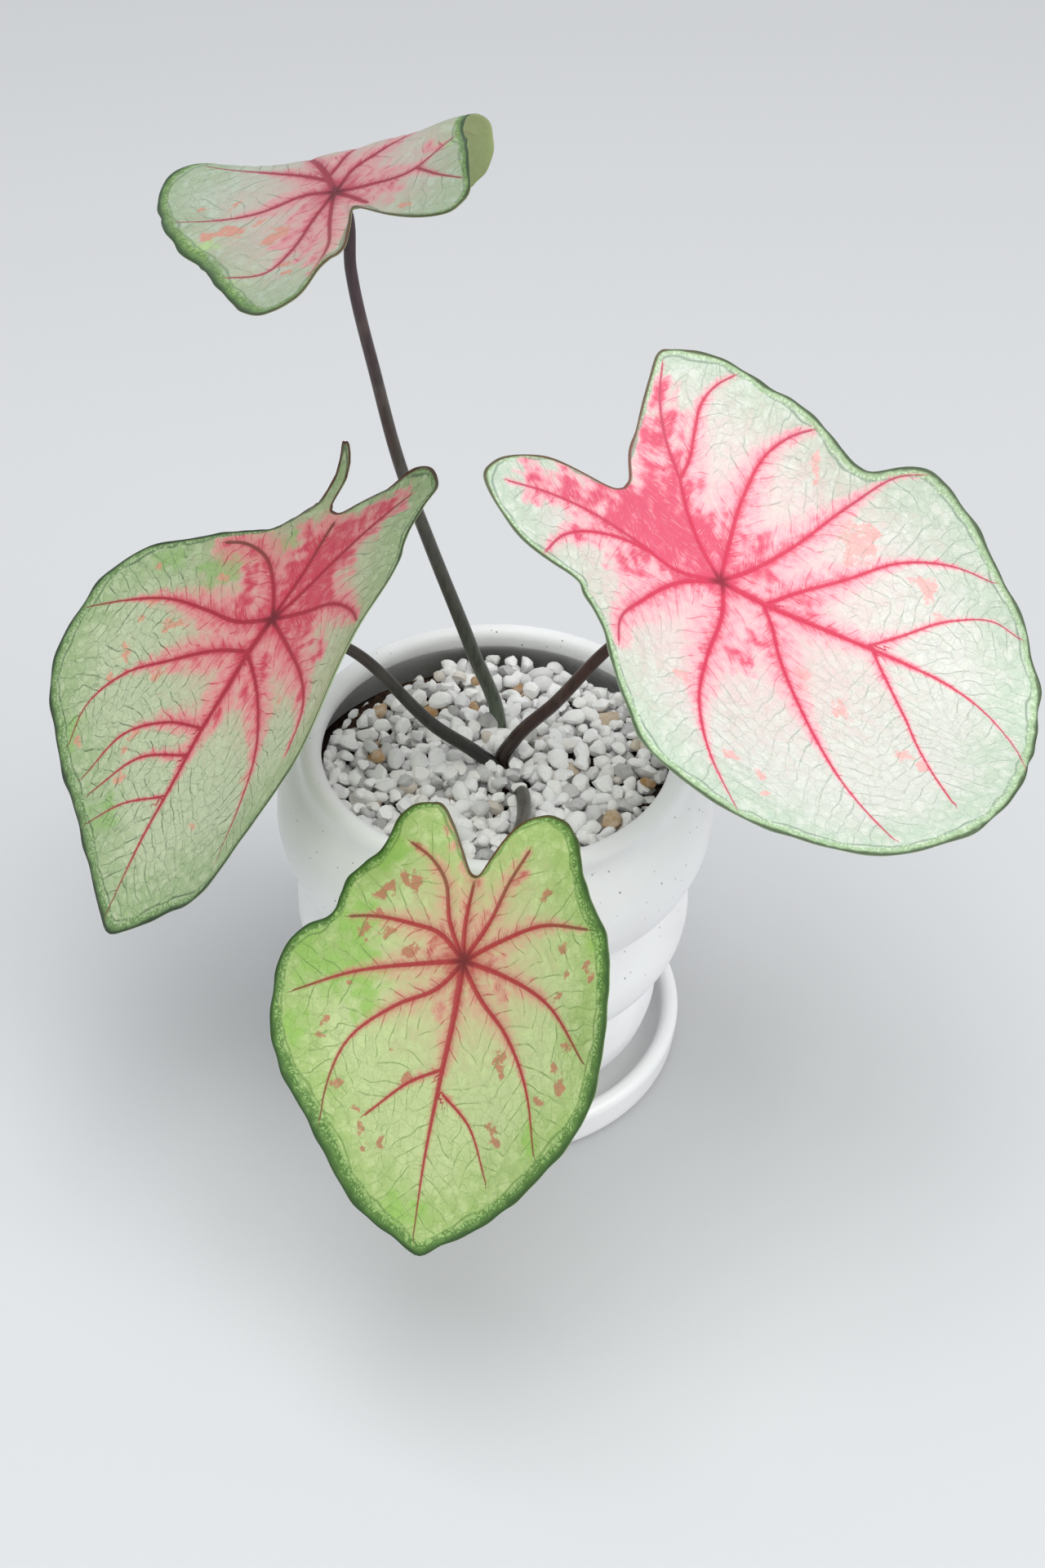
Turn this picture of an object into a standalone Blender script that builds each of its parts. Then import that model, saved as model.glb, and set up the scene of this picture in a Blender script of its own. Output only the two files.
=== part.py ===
"""A caladium with four leaves in a pot of three round tiers, on a saucer.

Metres, +Z up. The pot's axis is the Z axis, and the saucer stands on z = 0. All sizes
below are in millimetres, and MM turns them into metres where a mesh is made. The
front of the plant, where the lowest leaf hangs over the rim, faces -Y.
"""

import math
import random
from typing import NamedTuple

import bmesh
import bpy
import numpy as np
from mathutils import Euler, Matrix, Vector

MM = 0.001
GAP = 0.3

# Saucer: (radius, height) of its turned profile.
SAUCER_RADIUS = 58.0
SAUCER_RIM_TOP = 13.5
SAUCER_FLOOR = 4.2
SAUCER_INNER_RADIUS = 52.6
SAUCER_STEPS = 40

# Pot: each tier is an arc between two creases, and the rim is a roll.
POT_FOOT = (40.5, SAUCER_FLOOR + GAP + 1.2)
POT_LOWER_CREASE = (46.7, 37.8)
POT_UPPER_CREASE = (52.5, 71.2)
POT_SHOULDER = (56.2, 107.5)
POT_BULGES = (8.2, 8.2, 6.3)
POT_WALL = 5.0
RIM_CENTRE = (52.4, 111.2)
RIM_RADIUS = 3.2
POT_FLOOR_THICKNESS = 5.2
DRAIN_RADIUS = 5.0
TIER_STEPS = 5
POT_STEPS = 40

# What fills the pot.
SOIL_TOP = 97.2
GRAVEL_BED_TOP = 101.3
TUBER_CENTRE = (2.0, 4.0, 88.0)
TUBER_RADIUS = 17.0
TUBER_HALF_HEIGHT = 9.0
STONE_SPACING = 8.3
STONE_HALF_SIZES = (4.7, 3.9, 3.3)
STONE_LEVEL = 102.0
STONE_FIELD_RADIUS = 47.2

# Blades and stalks.
BLADE_THICKNESS = 0.8
BLADE_RAYS = 48
BLADE_RINGS = 6
RAY_CROWDING = 26.0
STALK_RADIUS = 1.65
STALK_BASE_SWELL = 1.35
STALK_POINTS = 15
STALK_BEVEL = 2
STALK_COLOUR = (0.12, 0.09, 0.08)
BLADE_COLOURS = {
    "right": (0.70, 0.62, 0.56),
    "left": (0.45, 0.52, 0.36),
    "front": (0.36, 0.46, 0.18),
    "top": (0.60, 0.56, 0.48),
}


class Leaf(NamedTuple):
    """One leaf: where its blade sits on its stalk, how it faces, its outline and bends.

    outline holds (bearing, reach): the bearing in degrees clockwise from the tip, seen
    from above, and the distance from the joint to the margin. Each bend is (bearing,
    start, radius, angle): what lies beyond a line square to that bearing is rolled down
    by that angle, or up if the angle is negative. waves is (height, count, phase).
    """

    joint: tuple
    heading: float
    pitch: float
    roll: float
    outline: tuple
    bends: tuple
    waves: tuple
    stalk: tuple


LEAVES = {
    "right": Leaf(
        joint=(56.4, -15.6, 180.2),
        heading=122.3,
        pitch=32.5,
        roll=-3.3,
        outline=(
            (1, 94.8), (8, 96.3), (16, 97), (25, 95), (33, 92.6), (37, 89.9), (42, 86.7), (48, 83.2),
            (53, 81.8), (58, 80.6), (63, 78), (67, 75.7), (71, 73.4), (76, 71), (80, 67.5), (84, 62.4),
            (90, 57.5), (97, 52.8), (104, 49.8), (110, 49.2), (116, 49.3), (120, 49.0), (123, 51),
            (126, 55.1), (130, 61), (135, 66.4), (140, 71), (144, 73), (148, 70.6), (152, 66.2),
            (156, 60.5), (160, 53.5), (163, 46.4), (166, 39.9), (173, 34.9), (179, 34.6), (184, 35.8),
            (191, 40.8), (199, 46.7), (204, 52.6), (208, 59), (211, 64.7), (215, 66), (220, 65.3),
            (227, 64.2), (234, 61.8), (240, 59.6), (248, 58.8), (255, 57.4), (261, 56.4), (268, 55),
            (274, 55.1), (278, 58), (281, 64.5), (284, 69), (289, 72), (294, 74), (299, 76.1),
            (304, 77.8), (310, 80.7), (316, 84.9), (322, 89), (328, 90.6), (333, 92.6), (341, 93.1),
            (351, 93.6),
        ),
        bends=(
            (0, 0, 198, -40),
            (90, 3, 446, -20),
            (-90, 3, 59, -95),
            (180, 3, 340, -20),
            (0, 50, 150, -9),
        ),
        waves=(0.9, 7, 40.0),
        stalk=((4, 2, 92), (2.5, 2, 98), (1.5, 2.5, 104), (5, 3, 111), (16, 0, 127), (30.3, -4, 150)),
    ),
    "front": Leaf(
        joint=(-6.9, -92.0, 117.5),
        heading=189.7,
        pitch=42.3,
        roll=25.6,
        outline=(
            (0, 72.2), (3, 71.2), (7, 69.4), (12, 68.4), (18, 66.5), (25, 64), (34, 60.4), (45, 58),
            (57, 57.6), (68, 56.6), (78, 54.5), (86, 52.4), (92, 49.2), (96, 45.6), (99, 41.8),
            (103, 40.2), (109, 40.6), (116, 41.4), (124, 40.4), (132, 39.4), (138, 41.2), (144, 43.6),
            (150, 44.6), (155, 43.8), (160, 41.2), (163, 36), (167, 28.9), (171, 24.2), (177, 21.8),
            (183, 23), (187, 27), (191, 32.4), (196, 38), (202, 41.6), (209, 43.2), (218, 42.8),
            (226, 41.4), (236, 40.4), (246, 41), (258, 44), (270, 46.6), (280, 49.2), (290, 51),
            (298, 52.8), (305, 54.6), (312, 56.3), (319, 57.6), (327, 59.2), (334, 60.8), (341, 63),
            (349, 66), (355, 69),
        ),
        bends=(
            (180, 3, 208, 30),
            (90, 3, 188, -25),
            (-90, 3, 129, -30),
        ),
        waves=(0.8, 8, 10.0),
        stalk=((5, -6, 91), (6.5, -9, 98), (7.4, -13, 105), (8, -27, 110), (5.5, -46, 116.6), (1.5, -63, 118.6),
               (-2.8, -80, 117.2)),
    ),
    "left": Leaf(
        joint=(-59.1, -13.5, 163.5),
        heading=215.7,
        pitch=41.7,
        roll=17.9,
        outline=(
            (0, 91), (14, 81), (30, 78), (48, 79), (66, 77), (84, 67), (102, 47), (118, 37),
            (132, 33), (145, 31), (155, 32), (162, 37), (166, 47), (169, 56), (172, 50), (176, 37),
            (180, 32), (187, 36), (193, 45), (199, 53), (205, 56), (211, 56), (218, 52),
            (228, 49), (242, 51), (258, 55), (276, 62), (294, 66), (312, 67), (330, 69), (346, 79),
        ),
        bends=(
            (180, 3, 130, 80),
            (90, 3, 357, -80),
            (-90, 3, 80, -80),
            (168, 41, 9, -50),
        ),
        waves=(0.7, 7, 0.0),
        stalk=((-2, 0, 92), (-1.5, 0, 98), (-1, 0, 104), (-5, -1, 109), (-15.5, -2, 118), (-40, -4.5, 147.5)),
    ),
    "top": Leaf(
        joint=(-41.0, 11.7, 271.0),
        heading=-12.6,
        pitch=0.2,
        roll=-29.2,
        outline=(
            (0, 51), (13, 46), (30, 44), (48, 46), (66, 45), (80, 41), (90, 36.5), (98, 34.8),
            (108, 35.4), (116, 37.6), (124, 40), (133, 43), (140, 46.6), (146, 47.8), (151, 46),
            (155, 38), (158, 29), (161, 20), (165, 14.6), (171, 14.2), (177, 17), (181, 20.5),
            (184, 24.6), (188, 27.6), (193, 29.4), (197, 34), (200, 42), (204, 46.4), (209, 48.6),
            (214, 48.2), (220, 45.6), (227, 42.6), (234, 40.6), (242, 39), (250, 37.6), (257, 37.2),
            (264, 38), (270, 40), (276, 41.4), (285, 44.4), (295, 47.6), (305, 52.4), (314, 56),
            (330, 54), (346, 51),
        ),
        bends=(
            (180, 2, 525, -20),
            (90, 3, 345, -20),
            (-90, 3, 89, -60),
            (35.5, 12, 14, 95),
        ),
        waves=(0.8, 9, 60.0),
        stalk=((1, 12, 91), (1, 16.5, 98), (0.5, 18.7, 105), (-7, 17, 131), (-19.5, 16, 169.5), (-26.8, 14.5, 194),
               (-32.5, 13, 221), (-37.9, 11, 251.5)),
    ),
}


def clear_scene():
    for thing in list(bpy.data.objects):
        bpy.data.objects.remove(thing)


def new_collection(name, shown=True):
    collection = bpy.data.collections.new(name)
    collection.hide_render = not shown
    bpy.context.scene.collection.children.link(collection)
    return collection


def material(name, colour, roughness):
    made = bpy.data.materials.new(name)
    made.use_nodes = True
    shader = made.node_tree.nodes["Principled BSDF"]
    shader.inputs["Base Color"].default_value = (*colour, 1.0)
    shader.inputs["Roughness"].default_value = roughness
    shader.inputs["Metallic"].default_value = 0.0
    made.diffuse_color = (*colour, 1.0)
    return made


def place(name, mesh, finish, collection):
    """Puts a mesh into the scene as the named object, smooth but for its sharp edges."""
    if finish:
        mesh.materials.clear()
        mesh.materials.append(finish)
    mesh.shade_smooth()
    mesh.set_sharp_from_angle(angle=math.radians(40))
    thing = bpy.data.objects.new(name, mesh)
    collection.objects.link(thing)
    return thing


def arc(start, end, bulge, steps):
    """Points from start to end, both (radius, height), on an arc that bulges outwards by bulge."""
    start, end = Vector(start), Vector(end)
    chord = end - start
    outward = Vector((-chord.y, chord.x)).normalized()
    radius = (chord.length_squared / 4 + bulge**2) / (2 * abs(bulge))
    if outward.x < 0:
        outward.negate()
    centre = (start + end) / 2 - outward * (radius - bulge)
    half = math.asin(chord.length / 2 / radius)
    along = chord.normalized()
    points = []
    for step in range(steps + 1):
        angle = half * (2 * step / steps - 1)
        point = centre + radius * (math.cos(angle) * outward + math.sin(angle) * along)
        points.append((point.x, point.y))
    return points


def roll_points(centre, radius, start, end, steps):
    """Points on a circle's arc about centre, from the angle start to end in degrees."""
    angles = [math.radians(start + (end - start) * step / steps) for step in range(steps + 1)]
    return [(centre[0] + radius * math.cos(a), centre[1] + radius * math.sin(a)) for a in angles]


def turned(name, profile, steps, finish, collection):
    """A profile of (radius, height) turned round Z. One that ends off the axis is closed into a ring."""
    mesh = bpy.data.meshes.new(name)
    points = [(radius * MM, 0.0, height * MM) for radius, height in profile]
    edges = [(i, i + 1) for i in range(len(points) - 1)]
    if profile[0][0] > 0:
        edges.append((len(points) - 1, 0))
    mesh.from_pydata(points, edges, [])
    thing = bpy.data.objects.new(name, mesh)
    collection.objects.link(thing)
    screw = thing.modifiers.new("turn", "SCREW")
    screw.steps = steps
    screw.render_steps = steps
    screw.use_merge_vertices = True
    screw.merge_threshold = 0.0001
    screw.use_smooth_shade = True
    if finish:
        mesh.materials.append(finish)
    return thing


def saucer_profile():
    """From the middle of its floor over the rim to the middle of its flat foot, at z = 0."""
    middle = (SAUCER_RADIUS + SAUCER_INNER_RADIUS) / 2
    roll = (SAUCER_RADIUS - SAUCER_INNER_RADIUS) / 2
    rim = roll_points((middle + 0.3, SAUCER_RIM_TOP - roll), roll, 180, 0, 6)
    floor = [(0, SAUCER_FLOOR), (SAUCER_INNER_RADIUS - 3, SAUCER_FLOOR), (SAUCER_INNER_RADIUS - 0.6, SAUCER_FLOOR + 1.4)]
    foot = [(SAUCER_RADIUS - 0.4, 3.0), (SAUCER_RADIUS - 2, 0.8), (SAUCER_RADIUS - 4, 0), (0, 0)]
    return floor + rim + foot


def pot_inner_wall():
    """The inside of the tiers, from just under the rim down to the pot's floor."""
    lower = (POT_LOWER_CREASE[0] - POT_WALL, POT_LOWER_CREASE[1])
    upper = (POT_UPPER_CREASE[0] - POT_WALL, POT_UPPER_CREASE[1])
    lip = (RIM_CENTRE[0] - RIM_RADIUS, RIM_CENTRE[1] - 1.5)
    floor = (POT_FOOT[0] - POT_WALL + 0.5, POT_FLOOR_THICKNESS + SAUCER_FLOOR + GAP)
    walls = []
    for start, end, bulge in zip((lip, upper, lower), (upper, lower, floor), POT_BULGES):
        walls += arc(start, end, bulge + 0.6, TIER_STEPS - 1)[:-1]
    return walls + [floor]


def pot_profile():
    """Down the outer side, across the foot to the drain hole, and up the inside to the rim."""
    tops = (POT_SHOULDER, POT_UPPER_CREASE, POT_LOWER_CREASE)
    ends = (POT_UPPER_CREASE, POT_LOWER_CREASE, POT_FOOT)
    outer = []
    for start, end, bulge in zip(tops, ends, POT_BULGES):
        outer += arc(start, end, bulge, TIER_STEPS)[:-1]
    bottom = SAUCER_FLOOR + GAP
    foot = [POT_FOOT, (POT_FOOT[0] - 1.5, bottom), (DRAIN_RADIUS, bottom)]
    inner = [(DRAIN_RADIUS, bottom + POT_FLOOR_THICKNESS)] + pot_inner_wall()[::-1]
    rim = roll_points(RIM_CENTRE, RIM_RADIUS, 170, 0, 6)
    return outer + foot + inner + rim


def pot_clearance(low, high, radius_in=GAP):
    """The inner wall between two heights, held off by radius_in, top to bottom."""
    wall = [(radius - radius_in, height) for radius, height in pot_inner_wall()]
    heights = [height for _, height in reversed(wall)]
    radii = [radius for radius, _ in reversed(wall)]
    levels = [high] + [height for _, height in wall if low < height < high] + [low]
    return [(float(np.interp(level, heights, radii)), level) for level in levels]


def evaluated_mesh(thing):
    """The object's mesh with its modifiers or its curve's bevel applied, and loose caps welded on."""
    graph = bpy.context.evaluated_depsgraph_get()
    made = bpy.data.meshes.new_from_object(thing.evaluated_get(graph), depsgraph=graph)
    work = bmesh.new()
    work.from_mesh(made)
    bmesh.ops.remove_doubles(work, verts=work.verts, dist=1e-6)
    work.to_mesh(made)
    work.free()
    return made


def boolean(thing, operation, other, solver="EXACT"):
    """Adds a Boolean with one object, or with every object of a collection."""
    step = thing.modifiers.new(operation.lower(), "BOOLEAN")
    step.operation = operation
    step.solver = solver
    if isinstance(other, bpy.types.Collection):
        step.operand_type = "COLLECTION"
        step.collection = other
    else:
        step.object = other


def stalk_route(leaf):
    """A smooth centre line through the stalk's points, ending square to the blade's underside."""
    joint = Vector(leaf.joint)
    normal = Vector(blade_axes(leaf)[2])
    ends = [joint - normal * 3.5, joint - normal * (BLADE_THICKNESS / 2 + GAP)]
    points = np.array([*leaf.stalk, *ends])
    steps = np.concatenate([[0], np.cumsum(np.linalg.norm(np.diff(points, axis=0), axis=1))])
    places = np.concatenate([np.linspace(0, steps[-2], STALK_POINTS), steps[-1:]])
    return np.stack([smooth_curve(steps, points[:, axis], places) for axis in range(3)], axis=1)


def smooth_curve(knots, values, places):
    """A cubic through (knots, values) whose slope at a knot is that of its two neighbours."""
    slopes = np.gradient(values, knots)
    index = np.clip(np.searchsorted(knots, places, side="right") - 1, 0, len(knots) - 2)
    width = knots[index + 1] - knots[index]
    t = (places - knots[index]) / width
    rise = values[index] * (1 + 2 * t) * (1 - t) ** 2 + values[index + 1] * t**2 * (3 - 2 * t)
    return rise + width * (slopes[index] * t * (1 - t) ** 2 + slopes[index + 1] * t**2 * (t - 1))


def stalk(name, leaf, clearance, finish, collection):
    """The stalk as a tube that is a little fatter at its base. clearance fattens it into a cutter."""
    route = stalk_route(leaf)
    curve = bpy.data.curves.new(name, "CURVE")
    curve.dimensions = "3D"
    curve.bevel_depth = STALK_RADIUS * MM
    curve.bevel_resolution = STALK_BEVEL
    curve.use_fill_caps = True
    line = curve.splines.new("POLY")
    line.points.add(len(route) - 1)
    if clearance:
        route[0] += (route[0] - route[1]) * clearance / np.linalg.norm(route[0] - route[1])
    swell = 1 + (STALK_BASE_SWELL - 1) * np.linspace(1, 0, len(route)) ** 2
    for point, place_mm, size in zip(line.points, route, swell):
        point.co = (*(place_mm * MM), 1.0)
        point.radius = size + clearance / STALK_RADIUS
    drawn = bpy.data.objects.new(name + "_curve", curve)
    collection.objects.link(drawn)
    mesh = evaluated_mesh(drawn)
    bpy.data.objects.remove(drawn)
    return place(name, mesh, finish, collection)


def add_fillings(parts, cutters):
    """Soil with a pit for the tuber, and the layer of stones, both with holes for the stalks."""
    holes = [stalk("hole_" + name, leaf, GAP, None, cutters) for name, leaf in LEAVES.items()]
    pit = turned("pit", [(0, SOIL_TOP + 5), (TUBER_RADIUS + 1, SOIL_TOP + 5), (TUBER_RADIUS + 1, pit_floor()),
                         (0, pit_floor())], 24, None, cutters)
    pit.location = (TUBER_CENTRE[0] * MM, TUBER_CENTRE[1] * MM, 0)
    for helper in [*holes, pit]:
        helper.hide_render = True
        helper.display_type = "WIRE"
    mix = material("potting_mix", (0.06, 0.04, 0.03), roughness=0.95)
    bottom = POT_FLOOR_THICKNESS + SAUCER_FLOOR + 2 * GAP
    profile = [(0, SOIL_TOP), *pot_clearance(bottom, SOIL_TOP), (0, bottom)]
    soil = turned("soil", profile, POT_STEPS, mix, parts)
    boolean(soil, "DIFFERENCE", pit)
    add_tuber(holes, parts)
    add_gravel(holes, parts, cutters)


def pit_floor():
    return TUBER_CENTRE[2] - TUBER_HALF_HEIGHT - GAP


def add_tuber(holes, parts):
    """A flattened knobbly ball with a hole for each stalk."""
    work = bmesh.new()
    bmesh.ops.create_uvsphere(work, u_segments=14, v_segments=8, radius=1.0)
    for vert in work.verts:
        around = math.atan2(vert.co.y, vert.co.x)
        knob = 1 - 0.06 * (1 + math.sin(3 * around)) * (1 - vert.co.z**2)
        vert.co = Vector((vert.co.x * knob * TUBER_RADIUS, vert.co.y * knob * TUBER_RADIUS,
                          vert.co.z * TUBER_HALF_HEIGHT))
        vert.co = (vert.co + Vector(TUBER_CENTRE)) * MM
    mesh = bpy.data.meshes.new("tuber")
    work.to_mesh(mesh)
    work.free()
    tuber = place("tuber", mesh, material("tuber_skin", (0.23, 0.14, 0.08), roughness=0.9), parts)
    for hole in holes:
        boolean(tuber, "DIFFERENCE", hole)


def stone_places():
    """(x, y) on a staggered grid over the pot's mouth, each moved a little at random."""
    draw = random.Random(11)
    rows = int(STONE_FIELD_RADIUS / (STONE_SPACING * 0.87)) + 1
    for row in range(-rows, rows + 1):
        for column in range(-rows, rows + 1):
            x = (column + 0.5 * (row % 2)) * STONE_SPACING + draw.uniform(-0.9, 0.9)
            y = row * STONE_SPACING * 0.87 + draw.uniform(-0.9, 0.9)
            if math.hypot(x, y) < STONE_FIELD_RADIUS:
                yield x, y


def add_gravel(holes, parts, cutters):
    """A bed that fits the pot's wall, with angular stones sunk into it and fused to it."""
    draw = random.Random(23)
    loose = bpy.data.collections.new("stones")
    bpy.context.scene.collection.children.link(loose)
    for x, y in stone_places():
        work = bmesh.new()
        bmesh.ops.create_icosphere(work, subdivisions=1, radius=MM)
        for vert in work.verts:
            vert.co *= draw.uniform(0.86, 1.12)
        size = [half * draw.uniform(0.85, 1.1) for half in STONE_HALF_SIZES]
        turn = Euler((draw.uniform(-0.5, 0.5), draw.uniform(-0.5, 0.5), draw.uniform(0, math.tau))).to_matrix()
        bmesh.ops.transform(work, matrix=(turn @ Matrix.Diagonal(size)).to_4x4(), verts=work.verts)
        shift = Vector((x, y, STONE_LEVEL + draw.uniform(-0.8, 0.8))) * MM
        bmesh.ops.translate(work, vec=shift, verts=work.verts)
        mesh = bpy.data.meshes.new("stone")
        work.to_mesh(mesh)
        work.free()
        loose.objects.link(bpy.data.objects.new("stone", mesh))
    profile = [(0, GRAVEL_BED_TOP), *pot_clearance(SOIL_TOP + GAP, GRAVEL_BED_TOP), (0, SOIL_TOP + GAP)]
    bed = turned("bed", profile, POT_STEPS, None, cutters)
    boolean(bed, "UNION", loose, solver="MANIFOLD")
    for hole in holes:
        boolean(bed, "DIFFERENCE", hole, solver="MANIFOLD")
    mesh = evaluated_mesh(bed)
    for helper in [bed, *loose.objects]:
        bpy.data.objects.remove(helper)
    bpy.data.collections.remove(loose)
    place("gravel", mesh, material("pumice", (0.72, 0.70, 0.67), roughness=0.95), parts)


def blade_axes(leaf):
    """The blade's own axes in the world, as rows: to its right, to its tip, and its upper side."""
    heading, pitch, roll = (math.radians(angle) for angle in (leaf.heading, leaf.pitch, leaf.roll))
    tip = np.array([math.sin(heading) * math.cos(pitch), math.cos(heading) * math.cos(pitch), -math.sin(pitch)])
    level = np.array([math.cos(heading), -math.sin(heading), 0.0])
    above = np.cross(level, tip)
    right = math.cos(roll) * level - math.sin(roll) * above
    return np.stack([right, tip, math.sin(roll) * level + math.cos(roll) * above])


def reach_at(outline, bearings):
    """The distance from joint to margin at each bearing, on a smooth closed curve through the outline."""
    knots = np.array([bearing for bearing, _ in outline], dtype=float)
    reaches = np.array([reach for _, reach in outline], dtype=float)
    knots = np.concatenate([knots[-3:] - 360, knots, knots[:3] + 360])
    reaches = np.concatenate([reaches[-3:], reaches, reaches[:3]])
    return smooth_curve(knots, reaches, bearings)


def bent(points, bearing, start, radius, angle):
    """Rolls what lies beyond a line in the blade down round a roll, or up if the angle is negative.

    The line is square to the bearing, start from the joint. Beyond it, a distance s along
    the bearing becomes an arc of the given radius, up to the angle, and then runs straight.
    """
    direction = np.array([math.sin(math.radians(bearing)), math.cos(math.radians(bearing))])
    sign = math.copysign(1.0, angle)
    beyond = np.maximum(points[:, :2] @ direction - start, 0)
    turn = np.minimum(beyond / radius, abs(math.radians(angle)))
    straight = beyond - radius * turn
    lift = np.where(beyond > 0, points[:, 2], 0.0)
    forward = radius * np.sin(turn) + straight * np.cos(turn) - beyond + sign * lift * np.sin(turn)
    drop = radius * (1 - np.cos(turn)) + straight * np.sin(turn)
    moved = points.copy()
    moved[:, :2] += forward[:, None] * direction
    moved[:, 2] += lift * (np.cos(turn) - 1) - sign * drop
    return moved


def blade_surface(leaf, flat):
    """Where points of the flat blade, (right, forward) of the joint, lie in the world.

    The margin ripples: height times the cube of the share of the reach, times a sine of the
    bearing. Then the blade is bent, turned to face its way and moved to the joint.
    """
    height, count, phase = leaf.waves
    bearings = np.degrees(np.arctan2(flat[:, 0], flat[:, 1])) % 360
    share = np.hypot(flat[:, 0], flat[:, 1]) / reach_at(leaf.outline, bearings)
    ripple = height * share**3 * np.sin(np.radians(count * bearings + phase))
    points = np.column_stack([flat, ripple])
    for bend in leaf.bends:
        points = bent(points, *bend)
    return np.array(leaf.joint) + points @ blade_axes(leaf)


def blade_normals(leaf, flat):
    """Unit normals on the upper side, from small steps to the right and forward."""
    step = 0.05
    right = blade_surface(leaf, flat + [step, 0]) - blade_surface(leaf, flat - [step, 0])
    forward = blade_surface(leaf, flat + [0, step]) - blade_surface(leaf, flat - [0, step])
    normals = np.cross(right, forward)
    return normals / np.linalg.norm(normals, axis=1, keepdims=True)


def blade_mesh(name, leaf):
    """Rays from the joint, crowded towards the lobes, and rings out to the margin, on both faces."""
    around = np.arange(BLADE_RAYS) * math.tau / BLADE_RAYS
    bearings = np.degrees(around) + RAY_CROWDING * np.sin(around)
    reaches = reach_at(leaf.outline, bearings)
    shares = np.sqrt(np.arange(1, BLADE_RINGS + 1) / BLADE_RINGS)
    rays = np.stack([np.sin(np.radians(bearings)), np.cos(np.radians(bearings))], axis=1)
    rings = shares[:, None, None] * (reaches[:, None] * rays)[None]
    flat = np.concatenate([[[1e-4, 1e-4]], rings.reshape(-1, 2)])
    middle = blade_surface(leaf, flat)
    offset = blade_normals(leaf, flat) * BLADE_THICKNESS / 2
    points = np.concatenate([middle + offset, middle - offset]) * MM
    mesh = bpy.data.meshes.new(name)
    mesh.from_pydata(points.tolist(), [], blade_faces(len(flat)))
    return mesh


def blade_faces(per_side):
    """Triangles, alike on both faces, and a strip round the margin. Vertex 0 of each side is the joint."""
    faces = []
    for ray in range(BLADE_RAYS):
        after = (ray + 1) % BLADE_RAYS
        upper = [(0, 1 + after, 1 + ray)]
        for ring in range(BLADE_RINGS - 1):
            near, far = 1 + ring * BLADE_RAYS, 1 + (ring + 1) * BLADE_RAYS
            upper.append((near + ray, near + after, far + after))
            upper.append((near + ray, far + after, far + ray))
        faces += upper
        faces += [tuple(per_side + corner for corner in reversed(face)) for face in upper]
        edge = 1 + (BLADE_RINGS - 1) * BLADE_RAYS
        a, b = edge + ray, edge + after
        faces.append((a, b, per_side + b))
        faces.append((a, per_side + b, per_side + a))
    return faces


def add_leaf(name, leaf, parts):
    colour = BLADE_COLOURS[name]
    blade = place("leaf_" + name, blade_mesh("leaf_" + name, leaf), material("blade_" + name, colour, 0.5), parts)
    stalk("petiole_" + name, leaf, 0.0, material("stalk_" + name, STALK_COLOUR, 0.55), parts)
    return blade


def main():
    clear_scene()
    parts = new_collection("caladium")
    cutters = new_collection("cutters", shown=False)
    glaze = material("white_glaze", (0.83, 0.82, 0.80), roughness=0.45)
    turned("saucer", saucer_profile(), SAUCER_STEPS, glaze, parts)
    turned("pot", pot_profile(), POT_STEPS, glaze, parts)
    add_fillings(parts, cutters)
    for name, leaf in LEAVES.items():
        add_leaf(name, leaf, parts)


main()
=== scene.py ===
"""The looks of a potted caladium: four variegated blades on slender stalks in a tiered pot of pumice."""

import math
import random
from typing import NamedTuple

import bpy
import numpy as np
from mathutils import Matrix, Vector


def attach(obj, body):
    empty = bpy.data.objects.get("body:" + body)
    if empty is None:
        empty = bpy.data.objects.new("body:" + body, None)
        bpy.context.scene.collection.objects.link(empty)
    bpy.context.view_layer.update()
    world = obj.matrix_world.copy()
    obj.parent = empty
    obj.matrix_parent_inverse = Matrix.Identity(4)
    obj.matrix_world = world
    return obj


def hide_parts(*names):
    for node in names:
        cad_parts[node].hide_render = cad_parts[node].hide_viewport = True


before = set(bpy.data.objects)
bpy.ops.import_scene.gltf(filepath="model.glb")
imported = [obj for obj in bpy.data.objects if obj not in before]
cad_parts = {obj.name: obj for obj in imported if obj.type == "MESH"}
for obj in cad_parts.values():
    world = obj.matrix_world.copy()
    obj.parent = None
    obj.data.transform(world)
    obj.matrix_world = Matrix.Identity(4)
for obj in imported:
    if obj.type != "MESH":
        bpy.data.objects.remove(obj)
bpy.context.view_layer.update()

MM = 0.001
GAP = 0.3

CAMERA_PLACE = (0.0, -0.47342, 0.50180)
CAMERA_PITCH, CAMERA_YAW, CAMERA_ROLL = 40.51, 0.94, 1.85
CAMERA_LENS, CAMERA_FILM = 50.0, 36.0

SAUCER_RADIUS, SAUCER_RIM_TOP, SAUCER_FLOOR, SAUCER_INNER_RADIUS = 58.0, 13.5, 4.2, 52.6
POT_FOOT = (40.5, 5.7)
POT_LOWER_CREASE = (46.7, 37.8)
POT_UPPER_CREASE = (52.5, 71.2)
POT_SHOULDER = (56.2, 107.5)
POT_BULGES = (8.2, 8.2, 6.3)
POT_WALL = 5.0
RIM_CENTRE, RIM_RADIUS = (52.4, 111.2), 3.2
POT_FLOOR_THICKNESS = 5.2
DRAIN_RADIUS = 5.0
CREASE_WIDTH = 1.6
POT_STEPS = 240

BLADE_RAYS, BLADE_RINGS, RAY_CROWDING = 480, 84, 26.0
BLADE_THICKNESS = 0.6
TWIG_SPACING = 5.2
STALK_RADIUS, STALK_BASE_SWELL = 1.65, 1.35
STALK_SIDES, STALK_RINGS = 28, 150

SOIL_LEVEL = 99.5
STONE_LEVELS = ((100.6, 4.0), (103.0, 3.7), (104.9, 4.5))
STONE_FIELD_RADIUS = 48.5


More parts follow.
